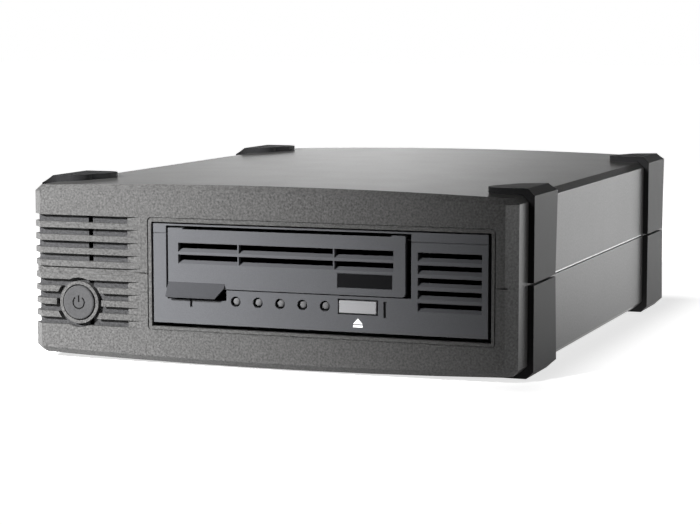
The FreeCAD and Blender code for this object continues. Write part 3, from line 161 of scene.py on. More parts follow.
floor_half = 6.0
floor_mesh = bpy.data.meshes.new("white_floor")
floor_mesh.from_pydata([(-floor_half, -floor_half, 0.0), (floor_half, -floor_half, 0.0),
                        (floor_half, floor_half, 0.0), (-floor_half, floor_half, 0.0)],
                       [], [(0, 1, 2, 3)])
white_floor = add_object("white_floor", floor_mesh)
white_floor.location.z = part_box("front_left_lower_bumper")[0].z
floor_paint = bpy.data.materials.new("floor_white_and_painted_shadow")
floor_paint.use_nodes = True
floor_tree = floor_paint.node_tree
floor_tree.nodes.clear()
floor_matt = put(floor_tree, "ShaderNodeBsdfDiffuse", sockets={"Color": (0.8, 0.8, 0.8, 1.0)})
floor_dim = put(floor_tree, "ShaderNodeBsdfDiffuse", sockets={"Color": (0.3, 0.3, 0.3, 1.0)})
floor_place = put(floor_tree, "ShaderNodeTexCoord").outputs["Object"]
floor_axes = put(floor_tree, "ShaderNodeSeparateXYZ", sockets={0: floor_place})
floor_depth = remap(floor_tree, floor_axes.outputs["Y"], -0.35, 0.35, 0.02, 1.2, eased=True)
floor_lift = put(floor_tree, "ShaderNodeEmission", sockets={"Strength": floor_depth})
floor_lit = put(floor_tree, "ShaderNodeAddShader",
                sockets={0: floor_dim.outputs[0], 1: floor_lift.outputs[0]})
footprint = (0.11, 0.145, 0.0)
floor_off = put(floor_tree, "ShaderNodeVectorMath", {"operation": "ABSOLUTE"},
                {0: floor_place})
floor_out = put(floor_tree, "ShaderNodeVectorMath", {"operation": "SUBTRACT"},
                {0: floor_off.outputs[0], 1: footprint})
floor_beyond = put(floor_tree, "ShaderNodeVectorMath", {"operation": "MAXIMUM"},
                   {0: floor_out.outputs[0], 1: (0.0, 0.0, 0.0)})
floor_reach = put(floor_tree, "ShaderNodeVectorMath", {"operation": "LENGTH"},
                  {0: floor_beyond.outputs[0]})
# Painted shadow: the floor's glow is dimmed to 0.70 at the edge of the unit's footprint and is full
# again 3 cm away.
floor_white_and_painted_shadow = remap(floor_tree, floor_reach.outputs["Value"], 0.0, 0.03, 0.70, 1.0, eased=True)
floor_glow_and_painted_shadow = put(floor_tree, "ShaderNodeEmission", sockets={"Strength": floor_white_and_painted_shadow})
floor_both = put(floor_tree, "ShaderNodeAddShader",
                 sockets={0: floor_matt.outputs[0], 1: floor_glow_and_painted_shadow.outputs[0]})
camera_sees(floor_tree, floor_both.outputs[0], floor_lit.outputs[0], "ShaderNodeOutputMaterial")
floor_mesh.materials.append(floor_paint)


# ---------------------------------------------------------------- case halves
# Two moulded shells of graphite ABS, parted along the middle. The mould is spark-eroded to a
# fine grain, and every outside edge is broken by a small radius.

case_grey = (0.052, 0.0515, 0.051)
case_edge_round = 0.00025
weld_reach = 2e-6
same_plane = 0.99995
# Between two wide flats even a small bend is an edge. Among the narrow faces of a round, only
# a large one is.
wide_face = 1e-5
wide_bend, narrow_bend = math.radians(4), math.radians(19)


def flat_areas(work):
    """Groups the faces that lie level with one another: each face's group, and its area."""
    group_of, areas = {}, []
    for first in work.faces:
        if first in group_of:
            continue
        group_of[first] = len(areas)
        waiting, total = [first], 0.0
        while waiting:
            face = waiting.pop()
            total += face.calc_area()
            for other in [near for edge in face.edges for near in edge.link_faces]:
                if other not in group_of and other.normal.dot(first.normal) > same_plane:
                    group_of[other] = len(areas)
                    waiting.append(other)
        areas.append(total)
    return group_of, areas


def steady_normals(work, group_of, areas):
    """Corner normals that follow the widest flat around each corner, up to sharp edges."""
    normals = {}
    for corner in work.verts:
        left = set(corner.link_faces)
        while left:
            fan, waiting = set(), [left.pop()]
            while waiting:
                face = waiting.pop()
                fan.add(face)
                for edge in face.edges:
                    if edge.smooth and corner in edge.verts:
                        waiting += [near for near in edge.link_faces if near in left]
                        left -= set(edge.link_faces)
            flats = {group_of[face]: face.normal
                     for face in sorted(fan, key=lambda face: face.index)}
            lean = sum((areas[index] * normal for index, normal in flats.items()), Vector())
            for face in fan:
                normals[face.index, corner.index] = lean.normalized()
    return normals


def merged_copy(node_name, name, whole=False):
    """A welded copy of a CAD node's skin, smooth over its curves; whole joins flat faces."""
    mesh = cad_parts[node_name].data.copy()
    mesh.name = name
    work = bmesh.new()
    work.from_mesh(mesh)
    bmesh.ops.remove_doubles(work, verts=work.verts, dist=weld_reach)
    if whole:
        bmesh.ops.dissolve_limit(work, angle_limit=math.radians(0.4), verts=work.verts,
                                 edges=work.edges, delimit=set())
    for face in work.faces:
        face.smooth = True
    work.faces.index_update()
    work.verts.index_update()
    group_of, areas = flat_areas(work)
    for edge in work.edges:
        bend = edge.calc_face_angle(math.pi)
        least = min(areas[group_of[face]] for face in edge.link_faces)
        edge.smooth = bend < (wide_bend if least > wide_face else narrow_bend)
    normals = {} if whole else steady_normals(work, group_of, areas)
    work.to_mesh(mesh)
    work.free()
    mesh.materials.clear()
    if not whole:
        mesh.normals_split_custom_set([normals[face.index, mesh.loops[loop].vertex_index]
                                       for face in mesh.polygons for loop in face.loop_indices])
    return add_object(name, mesh)


def node_group(name, inputs, outputs):
    """An empty shader group with named number inputs and outputs."""
    group = bpy.data.node_groups.new(name, "ShaderNodeTree")
    for label, value in inputs.items():
        socket = group.interface.new_socket(label, in_out="INPUT", socket_type="NodeSocketFloat")
        socket.default_value = value
    for label in outputs:
        group.interface.new_socket(label, in_out="OUTPUT", socket_type="NodeSocketFloat")
    return group, put(group, "NodeGroupInput"), put(group, "NodeGroupOutput")


grain_group, grain_in, grain_out = node_group(
    "moulded_grain", {"Grain Size": 0.0006, "Cloud Size": 0.02},
    ("Height", "Speckle", "Cloud"))
grain_place = put(grain_group, "ShaderNodeTexCoord")
grain_scale = calc(grain_group, "DIVIDE", 1.0, grain_in.outputs["Grain Size"])
cloud_scale = calc(grain_group, "DIVIDE", 1.0, grain_in.outputs["Cloud Size"])
pebbles = put(grain_group, "ShaderNodeTexVoronoi", {"feature": "SMOOTH_F1"},
              {"Vector": grain_place.outputs["Object"], "Scale": grain_scale,
               "Smoothness": 0.6})
specks = put(grain_group, "ShaderNodeTexNoise",
             sockets={"Vector": grain_place.outputs["Object"], "Scale": grain_scale,
                      "Detail": 3.0, "Roughness": 0.6})
clouds = put(grain_group, "ShaderNodeTexNoise",
             sockets={"Vector": grain_place.outputs["Object"], "Scale": cloud_scale,
                      "Detail": 2.0, "Roughness": 0.5})
rise = calc(grain_group, "SUBTRACT", specks.outputs["Fac"],
            calc(grain_group, "MULTIPLY", pebbles.outputs["Distance"], 0.6))
grain_group.links.new(rise, grain_out.inputs["Height"])
grain_group.links.new(specks.outputs["Fac"], grain_out.inputs["Speckle"])
grain_group.links.new(clouds.outputs["Fac"], grain_out.inputs["Cloud"])


def new_material(name):
    """A material with its node tree and its main shader."""
    material = bpy.data.materials.new(name)
    material.use_nodes = True
    return material, material.node_tree, material.node_tree.nodes["Principled BSDF"]


def shade_colour(tree, shader, colour, factor):
    """A base colour that a factor darkens and lightens over the surface."""
    tint = put(tree, "ShaderNodeVectorMath", {"operation": "SCALE"}, {0: colour, "Scale": factor})
    tree.links.new(tint.outputs[0], shader.inputs["Base Color"])


def moulded_plastic(name, colour, roughness, grain=0.0009, depth=0.00003, speckle=0.5,
                    level=0.5, edge=0.0):
    """Grained moulding: the grain catches light as specks, and sharp edges are eased."""
    material, tree, shader = new_material(name)
    surface = put(tree, "ShaderNodeGroup", {"node_tree": grain_group}, {"Grain Size": grain})
    shade = remap(tree, surface.outputs["Speckle"], 0.3, 0.7, 1.0 - speckle, 1.0 + speckle)
    drift = remap(tree, surface.outputs["Cloud"], 0.3, 0.7, 0.98, 1.02)
    shade_colour(tree, shader, colour, calc(tree, "MULTIPLY", shade, drift))
    gloss = remap(tree, surface.outputs["Cloud"], 0.3, 0.7, roughness - 0.008, roughness + 0.008)
    tree.links.new(gloss, shader.inputs["Roughness"])
    bump = put(tree, "ShaderNodeBump", sockets={"Strength": 0.6, "Distance": depth,
                                                "Height": surface.outputs["Height"]})
    if edge > 0.0:
        eased = put(tree, "ShaderNodeBevel", {"samples": 6}, {"Radius": edge})
        tree.links.new(eased.outputs[0], bump.inputs["Normal"])
    tree.links.new(bump.outputs[0], shader.inputs["Normal"])
    shader.inputs["Specular IOR Level"].default_value = level
    return material


case_plastic = moulded_plastic("case_plastic", case_grey, roughness=0.32, edge=case_edge_round)


def stand_for(piece, slot_name, body, *nodes):
    """Sets a piece in place of its CAD nodes, on its body."""
    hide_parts(*nodes)
    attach(piece, body)


def dress(piece, material, slot_name, body, *nodes):
    """Gives a piece its material and sets it in place of its CAD nodes."""
    piece.data.materials.append(material)
    stand_for(piece, slot_name, body, *nodes)


for half in ("upper", "lower"):
    shell = merged_copy(half + "_shell", half + "_case_moulding")
    dress(shell, case_plastic, "shell_plastic", "enclosure", half + "_shell")


# ---------------------------------------------------------------- corner bumpers
# Four pairs of matt rubber mouldings that wrap the corner posts. Their edges are soft, and
# the unit stands on the lower four.

bumper_grey = (0.014, 0.014, 0.0145)
bumper_round = 0.0006


def break_edges(piece, width, segments):
    """A small radius on every edge sharper than 25 degrees."""
    bevel = piece.modifiers.new("broken_edges", "BEVEL")
    bevel.width, bevel.segments = width, segments
    bevel.limit_method, bevel.angle_limit = "ANGLE", math.radians(25)
    bevel.use_clamp_overlap = True
    bevel.harden_normals = True


bumper_rubber = moulded_plastic("bumper_rubber", bumper_grey, roughness=0.5, grain=0.0005,
                                depth=0.00002, speckle=0.25, level=0.15)
for end in ("front", "rear"):
    for side in ("left", "right"):
        for half in ("upper", "lower"):
            place = "%s_%s_%s_bumper" % (end, side, half)
            bumper = merged_copy(place, place + "_rubber", whole=True)
            break_edges(bumper, bumper_round, segments=3)
            dress(bumper, bumper_rubber, "bumper_rubber", "enclosure", place)


# ---------------------------------------------------------------- louvre backing and button
# A bent panel closes the louvres from behind, with a narrow air slit. The lower one carries
# the collar of the power button, finished like the case round it. The button is a dished cap
# with the usual on mark.

panel_grey = (0.030, 0.030, 0.031)
collar_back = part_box("upper_shell")[0].y + 0.0027
panel_plastic = moulded_plastic("panel_plastic", panel_grey, roughness=0.55, edge=0.0002)
for half in ("upper", "lower"):
    place = half + "_louvre_panel"
    backing = merged_copy(place, place + "_moulding")
    dress(backing, panel_plastic, "shell_plastic", "enclosure", place)
    if half == "lower":
        backing.data.materials.append(case_plastic)
        for face in backing.data.polygons:
            face.material_index = int(face.center.y < collar_back)

button_low, button_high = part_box("power_button")
button_axis = ((button_low.x + button_high.x) / 2, (button_low.z + button_high.z) / 2)
cap_radius = (button_high.x - button_low.x) / 2
cap_face = button_low.y


def made_from(name, work, smooth_to=None):
    """A piece from worked faces: flat, or smooth up to an angle in degrees."""
    bmesh.ops.recalc_face_normals(work, faces=work.faces)
    for face in work.faces:
        face.smooth = smooth_to is not None
    mesh = bpy.data.meshes.new(name)
    work.to_mesh(mesh)
    work.free()
    if smooth_to is not None:
        mesh.set_sharp_from_angle(angle=math.radians(smooth_to))
    return add_object(name, mesh)


def turned_y(name, axis, profile, steps=64):
    """A turned piece about an axis along Y; the profile holds (radius, y) from face to back."""
    work = bmesh.new()
    rings = []
    for radius, y in profile:
        if radius < 1e-7:
            rings.append([work.verts.new((axis[0], y, axis[1]))])
            continue
        rings.append([work.verts.new((axis[0] + radius * math.cos(turn), y,
                                      axis[1] + radius * math.sin(turn)))
                      for turn in (2 * math.pi * i / steps for i in range(steps))])
    for near, far in zip(rings, rings[1:]):
        for i in range(steps):
            j = (i + 1) % steps
            corners = list(dict.fromkeys([near[i % len(near)], near[j % len(near)],
                                          far[j % len(far)], far[i % len(far)]]))
            if len(corners) > 2:
                work.faces.new(corners)
    return made_from(name, work, 35)


stem_radius = 0.003
skirt_end = cap_face + 0.0060
dish_centre, dish_half_way = cap_face + 0.00035, cap_face + 0.00022
# From the middle of the dish over the rolled rim, down the side, and back along the stem.
cap = turned_y("power_cap", button_axis, [
    (0.0, dish_centre), (cap_radius * 0.5, dish_half_way),
    (cap_radius - 0.0012, cap_face + 0.00004), (cap_radius - 0.0007, cap_face),
    (cap_radius - 0.0003, cap_face + 0.0001), (cap_radius - 0.00008, cap_face + 0.00035),
    (cap_radius, cap_face + 0.0007), (cap_radius, skirt_end), (stem_radius, skirt_end),
    (stem_radius, button_high.y - 0.0004), (stem_radius - 0.0004, button_high.y),
    (0.0, button_high.y)])
cap_plastic = moulded_plastic("cap_plastic", (0.036, 0.036, 0.037), roughness=0.42,
                              grain=0.0005, depth=0.00002, speckle=0.2)


def made_plain(name, holder):
    """Keeps what an object's curve or nodes give as a plain mesh, in place of the object."""
    bpy.context.view_layer.update()
    ready = holder.evaluated_get(bpy.context.evaluated_depsgraph_get())
    mesh = bpy.data.meshes.new_from_object(ready)
    holder.modifiers.clear()
    bpy.data.objects.remove(holder)
    mesh.name = name
    return add_object(name, mesh)


def stroke(name, points, width):
    """A raised line of round section through the points."""
    line = bpy.data.curves.new(name, "CURVE")
    line.dimensions = "3D"
    line.bevel_depth, line.bevel_resolution = width / 2, 3
    line.use_fill_caps = True
    run = line.splines.new("POLY")
    run.points.add(len(points) - 1)
    for knot, point in zip(run.points, points):
        knot.co = (*point, 1.0)
    piece = made_plain(name, add_object(name, line))
    for face in piece.data.polygons:
        face.use_smooth = True
    return piece


mark_radius = cap_radius * 0.36
mark_line = 0.00060
mark_gap = math.radians(38)
ring_steps = 40
ring_points = []
for i in range(ring_steps + 1):
    turn = math.pi / 2 + mark_gap + i / ring_steps * 2 * (math.pi - mark_gap)
    ring_points.append((button_axis[0] + mark_radius * math.cos(turn), dish_half_way,
                        button_axis[1] + mark_radius * math.sin(turn)))
mark_ring = stroke("power_mark_ring", ring_points, mark_line)
bar_points = [(button_axis[0], dish_half_way, button_axis[1] + mark_radius * share)
              for share in (0.12, 1.15)]
mark_bar = stroke("power_mark_bar", bar_points, mark_line)
dress(cap, cap_plastic, "shell_plastic", "power_button", "power_button")
mark_paint = moulded_plastic("mark_paint", (0.006, 0.006, 0.006), roughness=0.4, grain=0.0004,
                             depth=0.000005, speckle=0.1, level=0.2)
for mark in (mark_ring, mark_bar):
    dress(mark, mark_paint, "black_plastic", "power_button")


def finish(material, *names):
    """CAD nodes whose shape is right keep it and take a finer material."""
    for name in names:
        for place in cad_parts[name].material_slots:
            place.material = material


black_plastic = moulded_plastic("black_plastic", (0.018, 0.018, 0.019), roughness=0.5)
finish(black_plastic, "power_switch")


# ---------------------------------------------------------------- drive bezel and its door
# The front of the drive in its bay: a fine-grained moulded frame, and a flap that turns on a
# steel pin at its top edge, coloured near-black as painted shade. The flap has two rows of air
# slots, a finger lip whose face is duller and coloured darker as painted shade, and a shallow
# place with a plain dark plate glued in.

bezel_grey = (0.058, 0.059, 0.063)
bezel_plastic = moulded_plastic("bezel_plastic", bezel_grey, roughness=0.44, grain=0.0004,
                                depth=0.00002, speckle=0.12, edge=0.0003)
bezel_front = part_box("drive_bezel")[0].y
bezel = merged_copy("drive_bezel", "bezel_moulding")
dress(bezel, bezel_plastic, "bezel_plastic", "enclosure", "drive_bezel")
door = merged_copy("drive_door", "door_flap")
dress(door, bezel_plastic, "bezel_plastic", "drive_door", "drive_door")
# Painted shade: the lip's face is coloured darker than the flap to stand for the shade on it.
lip_painted_shade = moulded_plastic("lip_painted_shade", (0.032, 0.0325, 0.035), roughness=0.55,
                              grain=0.0004, depth=0.00001, speckle=0.12, level=0.2)
door.data.materials.append(lip_painted_shade)
door_low, door_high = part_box("drive_door")
# Whatever stands proud of the flap's face is the lip.
lip_proud, clear_of_face = 0.0030, 0.00005
door_face = door_low.y + lip_proud
for face in door.data.polygons:
    if face.center.y < door_face - clear_of_face:
        face.material_index = 1


def printed(name, outline, y, thickness):
    """A thin flat print with a polygon outline in X and Z, standing proud of a face at y."""
    work = bmesh.new()
    front_ring = [work.verts.new((x, y - thickness, z)) for x, z in outline]
    back_ring = [work.verts.new((x, y, z)) for x, z in outline]
    work.faces.new(front_ring)
    work.faces.new(back_ring[::-1])
    for i in range(len(outline)):
        j = (i + 1) % len(outline)
        work.faces.new((front_ring[i], back_ring[i], back_ring[j], front_ring[j]))
    return made_from(name, work)


def rectangle(left, right, bottom, top):
    """The four corners of an upright rectangle."""
    return [(left, bottom), (right, bottom), (right, top), (left, top)]


plate_right = door_high.x - 0.0058
plate_left = plate_right - 0.0236
plate_bottom, plate_top = door_low.z + 0.0071, door_low.z + 0.0128
plate_back = door_face + 0.0003
plate_thickness = 0.0002
plate_film = moulded_plastic("plate_film", (0.005, 0.005, 0.0055), roughness=0.3,
                             grain=0.0004, depth=0.000005, speckle=0.1, level=0.25)
door_plate = printed("door_plate", rectangle(plate_left, plate_right, plate_bottom, plate_top),
                     plate_back, plate_thickness)
dress(door_plate, plate_film, "black_plastic", "drive_door")


def metal(name, colour, roughness, patch, contrast, rub=0.08):
    """Bare or plated metal whose colour and gloss change from patch to patch."""
    material, tree, shader = new_material(name)
    shader.inputs["Metallic"].default_value = 1.0
    place = put(tree, "ShaderNodeTexCoord")
    cells = put(tree, "ShaderNodeTexVoronoi", {"feature": "F1"},
                {"Vector": place.outputs["Object"], "Scale": 1.0 / patch, "Randomness": 1.0})
    cell_value = put(tree, "ShaderNodeSeparateColor", sockets={0: cells.outputs["Color"]})
    smear = put(tree, "ShaderNodeTexNoise",
                sockets={"Vector": place.outputs["Object"], "Scale": 0.35 / patch,
                         "Detail": 4.0, "Roughness": 0.6})
    both = calc(tree, "ADD", calc(tree, "MULTIPLY", cell_value.outputs[0], 0.4),
                calc(tree, "MULTIPLY", smear.outputs["Fac"], 0.6))
    shade_colour(tree, shader, colour, remap(tree, both, 0.2, 0.8, 1.0 - contrast, 1.0))
    gloss = remap(tree, both, 0.2, 0.8, roughness + rub, roughness - rub)
    tree.links.new(gloss, shader.inputs["Roughness"])
    bump = put(tree, "ShaderNodeBump", sockets={"Strength": 0.3, "Distance": 0.00002,
                                                "Height": smear.outputs["Fac"]})
    tree.links.new(bump.outputs[0], shader.inputs["Normal"])
    return material


# Painted shade: the hinge pin is coloured near-black for the shade it sits in behind the slots.
hinge_pin_painted_shade = metal("hinge_pin_painted_shade", (0.05, 0.05, 0.052), roughness=0.4,
                  patch=0.002, contrast=0.15)
finish(hinge_pin_painted_shade, "door_hinge_pin")


# ---------------------------------------------------------------- status lamps and eject button
# Five domed light pipes sit back in round holes under the flap. Beside them a pale button
# ejects the cartridge, with the usual triangle and bar printed below it.

lens_low, lens_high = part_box("lamp_lenses")
lens_count = 5
lens_radius = (lens_high.z - lens_low.z) / 2
lens_step = (lens_high.x - lens_low.x - 2 * lens_radius) / (lens_count - 1)


def geometry_tree(name, inputs):
    """An empty Geometry Nodes tree; inputs are (label, socket kind, value)."""
    tree = bpy.data.node_groups.new(name, "GeometryNodeTree")
    tree.interface.new_socket("Geometry", in_out="INPUT", socket_type="NodeSocketGeometry")
    for label, kind, value in inputs:
        socket = tree.interface.new_socket(label, in_out="INPUT", socket_type="NodeSocket" + kind)
        if value is not None:
            socket.default_value = value
    tree.interface.new_socket("Geometry", in_out="OUTPUT", socket_type="NodeSocketGeometry")
    return tree, put(tree, "NodeGroupInput"), put(tree, "NodeGroupOutput")


def close_tree(tree, geometry, material, output):
    """Ends a tree: instances made real, then the material set."""
    real = put(tree, "GeometryNodeRealizeInstances", sockets={0: geometry})
    painted = put(tree, "GeometryNodeSetMaterial",
                  sockets={"Geometry": real.outputs[0], "Material": material})
    tree.links.new(painted.outputs[0], output.inputs[0])


def grown(name, tree, values, places):
    """Runs a tree on points at the places and keeps the result as a plain mesh."""
    seed = bpy.data.meshes.new(name + "_places")
    seed.from_pydata([tuple(place) for place in places], [], [])
    holder = add_object(name + "_places", seed)
    nodes = holder.modifiers.new("nodes", "NODES")
    nodes.node_group = tree
    for socket in tree.interface.items_tree:
        if socket.in_out == "INPUT" and socket.name in values:
            nodes[socket.identifier] = values[socket.name]
    return made_plain(name, holder)


set_tree, set_in, set_out = geometry_tree("set_of_pieces", [
    ("Piece", "Object", None), ("Turn", "Vector", (0.0, 0.0, 0.0)), ("Material", "Material", None)])
set_source = put(set_tree, "GeometryNodeObjectInfo", {"transform_space": "ORIGINAL"},
                 {"Object": set_in.outputs["Piece"]})
set_turn = put(set_tree, "FunctionNodeEulerToRotation", sockets={0: set_in.outputs["Turn"]})
set_placed = put(set_tree, "GeometryNodeInstanceOnPoints",
                 sockets={"Points": set_in.outputs["Geometry"],
                          "Instance": set_source.outputs["Geometry"],
                          "Rotation": set_turn.outputs[0]})
close_tree(set_tree, set_placed.outputs[0], set_in.outputs["Material"], set_out)


def set_of(name, piece, places, material, turn=(0.0, 0.0, 0.0)):
    """One piece at many places, as one mesh; the pattern piece is then removed."""
    result = grown(name, set_tree, {"Piece": piece, "Turn": turn, "Material": material}, places)
    bpy.data.objects.remove(piece)
    return result


def glossy_plastic(name, colour, roughness, coat):
    """Smooth moulding with faint swirls in its gloss."""
    material, tree, shader = new_material(name)
    place = put(tree, "ShaderNodeTexCoord")
    swirl = put(tree, "ShaderNodeTexNoise",
                sockets={"Vector": place.outputs["Object"], "Scale": 600.0, "Detail": 3.0})
    shade_colour(tree, shader, colour, remap(tree, swirl.outputs["Fac"], 0.0, 1.0, 0.85, 1.15))
    gloss = remap(tree, swirl.outputs["Fac"], 0.0, 1.0, roughness * 0.7, roughness * 1.3)
    tree.links.new(gloss, shader.inputs["Roughness"])
    shader.inputs["Coat Weight"].default_value = coat
    return material


lens_plastic = glossy_plastic("lens_plastic", (0.09, 0.09, 0.092), roughness=0.3, coat=0.2)
lens_depth = lens_high.y - lens_low.y
one_lens = turned_y("one_lens", (0.0, 0.0), [
    (0.0, 0.0), (lens_radius * 0.35, 0.00006), (lens_radius * 0.65, 0.00024),
    (lens_radius * 0.88, 0.00056), (lens_radius, 0.0011),
    (lens_radius, lens_depth), (0.0, lens_depth)], steps=32)
lens_places = [(lens_low.x + lens_radius + i * lens_step, lens_low.y,
                (lens_low.z + lens_high.z) / 2) for i in range(lens_count)]
lenses = set_of("status_lamps", one_lens, lens_places, lens_plastic)
stand_for(lenses, "lens_plastic", "enclosure", "lamp_lenses")

pale_plastic = moulded_plastic("pale_plastic", (0.20, 0.20, 0.205), roughness=0.4, grain=0.0004,
                               depth=0.00001, speckle=0.06)
eject_cap = merged_copy("eject_button", "eject_cap", whole=True)
break_edges(eject_cap, 0.0004, segments=3)
dress(eject_cap, pale_plastic, "button_plastic", "eject_button", "eject_button")

eject_low, eject_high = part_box("eject_button")
sign_width, arrow_height, bar_height, bar_gap = 0.0042, 0.0023, 0.0009, 0.0005
sign_x = (eject_low.x + eject_high.x) / 2
sign_left, sign_right = sign_x - sign_width / 2, sign_x + sign_width / 2
arrow_top = eject_low.z - 0.0021
arrow_bottom = arrow_top - arrow_height
bar_top = arrow_bottom - bar_gap
print_ink = moulded_plastic("print_ink", (0.80, 0.80, 0.80), roughness=0.5, grain=0.0003,
                            depth=0.000005, speckle=0.05)
ink_thickness = 0.00003
for name, outline in (
        ("eject_sign_arrow", [(sign_left, arrow_bottom), (sign_right, arrow_bottom),
                              (sign_x, arrow_top)]),
        ("eject_sign_bar", rectangle(sign_left, sign_right, bar_top - bar_height, bar_top))):
    sign = printed(name, outline, bezel_front, ink_thickness)
    dress(sign, print_ink, "button_plastic", "enclosure")


# ---------------------------------------------------------------- circuit boards
# Glass-fibre boards under a green lacquer, with copper runs that show paler through it. One
# stands behind the lamps, one lies under the drive and one in the power supply.

def board_lacquer(name, green, copper):
    """Lacquered board: copper runs that show through in some places and not in others."""
    material, tree, shader = new_material(name)
    place = put(tree, "ShaderNodeTexCoord")
    runs = put(tree, "ShaderNodeTexBrick", {"offset": 0.5, "squash": 1.0},
               {"Vector": place.outputs["Object"], "Scale": 160.0, "Mortar Size": 0.06,
                "Color1": green, "Color2": [0.8 * value for value in green], "Mortar": copper})
    blotch = put(tree, "ShaderNodeTexNoise",
                 sockets={"Vector": place.outputs["Object"], "Scale": 90.0, "Detail": 2.0})
    mask = remap(tree, blotch.outputs["Fac"], 0.45, 0.55, 0.0, 1.0)
    mix = put(tree, "ShaderNodeMix", {"data_type": "RGBA"},
              {"Factor": mask, 6: runs.outputs["Color"], 7: green})
    tree.links.new(mix.outputs[2], shader.inputs["Base Color"])
    gloss = remap(tree, blotch.outputs["Fac"], 0.0, 1.0, 0.2, 0.45)
    tree.links.new(gloss, shader.inputs["Roughness"])
    return material


green_lacquer = board_lacquer("green_lacquer", (0.012, 0.075, 0.03, 1.0), (0.05, 0.20, 0.08, 1.0))
finish(green_lacquer, "front_board", "control_board", "supply_board")
finish(black_plastic, "eject_switch")


# ---------------------------------------------------------------- sheet metal inside the case
# A zinc-plated steel tray with a screwed lid holds the drive on two bent brackets and carries
# the rear panel. The zinc has a faint crystal pattern and no paint.

zinc_steel = metal("zinc_steel", (0.62, 0.63, 0.64), roughness=0.36,
                   patch=0.004, contrast=0.22)
finish(zinc_steel, "chassis_tray", "chassis_lid", "left_drive_bracket", "right_drive_bracket",
       "drive_top_cover", "drive_bottom_cover", "supply_case")
back_plate = merged_copy("rear_panel", "rear_plate")
dress(back_plate, zinc_steel, "zinc_steel", "enclosure", "rear_panel")


# ---------------------------------------------------------------- cooling fan and its guard
# A boxed axial fan behind the rear panel, with a guard of welded wire rings outside. Four
# cross-head screws go through the guard and the panel into the fan's corners.

finish(black_plastic, "fan_frame", "fan_rotor")
guard_low, guard_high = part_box("fan_guard")
guard_centre = (guard_low + guard_high) / 2
guard_radius = (guard_high.x - guard_low.x) / 2
wire_radius = (guard_high.y - guard_low.y) / 4
ring_count = 5
ring_inset = (guard_radius - 0.003) / ring_count
fan_screws_low, fan_screws_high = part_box("fan_screws")
screw_head_radius = 0.0027
fan_screw_reach = (fan_screws_high.x - fan_screws_low.x) / 2 - screw_head_radius
arm_reach = fan_screw_reach * math.sqrt(2.0)

wire_tree, wire_in, wire_out = geometry_tree("wire_guard", [
    ("Outer Radius", "Float", 0.022), ("Ring Count", "Int", 4), ("Ring Step", "Float", 0.004),
    ("Wire Radius", "Float", 0.0005), ("Arm Reach", "Float", 0.028), ("Arm Level", "Float", 0.0),
    ("Eye Radius", "Float", 0.003), ("Material", "Material", None)])
one_circle = put(wire_tree, "GeometryNodeCurvePrimitiveCircle",
                 sockets={"Resolution": 72, "Radius": 1.0})
ring_places = put(wire_tree, "GeometryNodeMeshLine",
                       sockets={"Count": wire_in.outputs["Ring Count"], "Offset": (0.0, 0.0, 0.0)})
ring_index = put(wire_tree, "GeometryNodeInputIndex")
ring_size = calc(wire_tree, "SUBTRACT", wire_in.outputs["Outer Radius"],
                 calc(wire_tree, "MULTIPLY", ring_index.outputs[0], wire_in.outputs["Ring Step"]))
ring_scale = put(wire_tree, "ShaderNodeCombineXYZ", sockets={0: ring_size, 1: ring_size, 2: 1.0})
wire_rings = put(wire_tree, "GeometryNodeInstanceOnPoints",
                 sockets={"Points": ring_places.outputs[0], "Instance": one_circle.outputs[0],
                          "Scale": ring_scale.outputs[0]})
arm_end = put(wire_tree, "ShaderNodeCombineXYZ",
              sockets={0: wire_in.outputs["Arm Reach"], 1: 0.0, 2: wire_in.outputs["Arm Level"]})
arm_start = put(wire_tree, "ShaderNodeCombineXYZ",
                sockets={0: 0.002, 1: 0.0, 2: wire_in.outputs["Arm Level"]})
arm_line = put(wire_tree, "GeometryNodeCurvePrimitiveLine",
               sockets={"Start": arm_start.outputs[0], "End": arm_end.outputs[0]})
eye_circle = put(wire_tree, "GeometryNodeCurvePrimitiveCircle",
                 sockets={"Resolution": 24, "Radius": wire_in.outputs["Eye Radius"]})
eye_set = put(wire_tree, "GeometryNodeTransform",
              sockets={"Geometry": eye_circle.outputs[0], "Translation": arm_end.outputs[0]})
arm_and_eye = put(wire_tree, "GeometryNodeJoinGeometry")
wire_tree.links.new(arm_line.outputs[0], arm_and_eye.inputs[0])
wire_tree.links.new(eye_set.outputs[0], arm_and_eye.inputs[0])
arm_points = put(wire_tree, "GeometryNodeMeshLine", sockets={"Count": 4, "Offset": (0.0, 0.0, 0.0)})
arm_turn_angle = calc(wire_tree, "ADD", calc(wire_tree, "MULTIPLY", ring_index.outputs[0],
                                             math.pi / 2), math.pi / 4)
arm_turn = put(wire_tree, "ShaderNodeCombineXYZ", sockets={2: arm_turn_angle})
arm_spin = put(wire_tree, "FunctionNodeEulerToRotation", sockets={0: arm_turn.outputs[0]})
wire_arms = put(wire_tree, "GeometryNodeInstanceOnPoints",
                sockets={"Points": arm_points.outputs[0], "Instance": arm_and_eye.outputs[0],
                         "Rotation": arm_spin.outputs[0]})
all_wires = put(wire_tree, "GeometryNodeJoinGeometry")
for made in (wire_rings, wire_arms):
    wire_tree.links.new(made.outputs[0], all_wires.inputs[0])
real_wires = put(wire_tree, "GeometryNodeRealizeInstances", sockets={0: all_wires.outputs[0]})
wire_section = put(wire_tree, "GeometryNodeCurvePrimitiveCircle",
                   sockets={"Resolution": 10, "Radius": wire_in.outputs["Wire Radius"]})
thick_wires = put(wire_tree, "GeometryNodeCurveToMesh",
                  sockets={0: real_wires.outputs[0], 1: wire_section.outputs[0], "Fill Caps": True})
stood_up = put(wire_tree, "GeometryNodeTransform",
               sockets={"Geometry": thick_wires.outputs[0], "Rotation": (math.pi / 2, 0.0, 0.0)})
wires_placed = put(wire_tree, "GeometryNodeInstanceOnPoints",
                   sockets={"Points": wire_in.outputs["Geometry"],
                            "Instance": stood_up.outputs[0]})
close_tree(wire_tree, wires_placed.outputs[0], wire_in.outputs["Material"], wire_out)

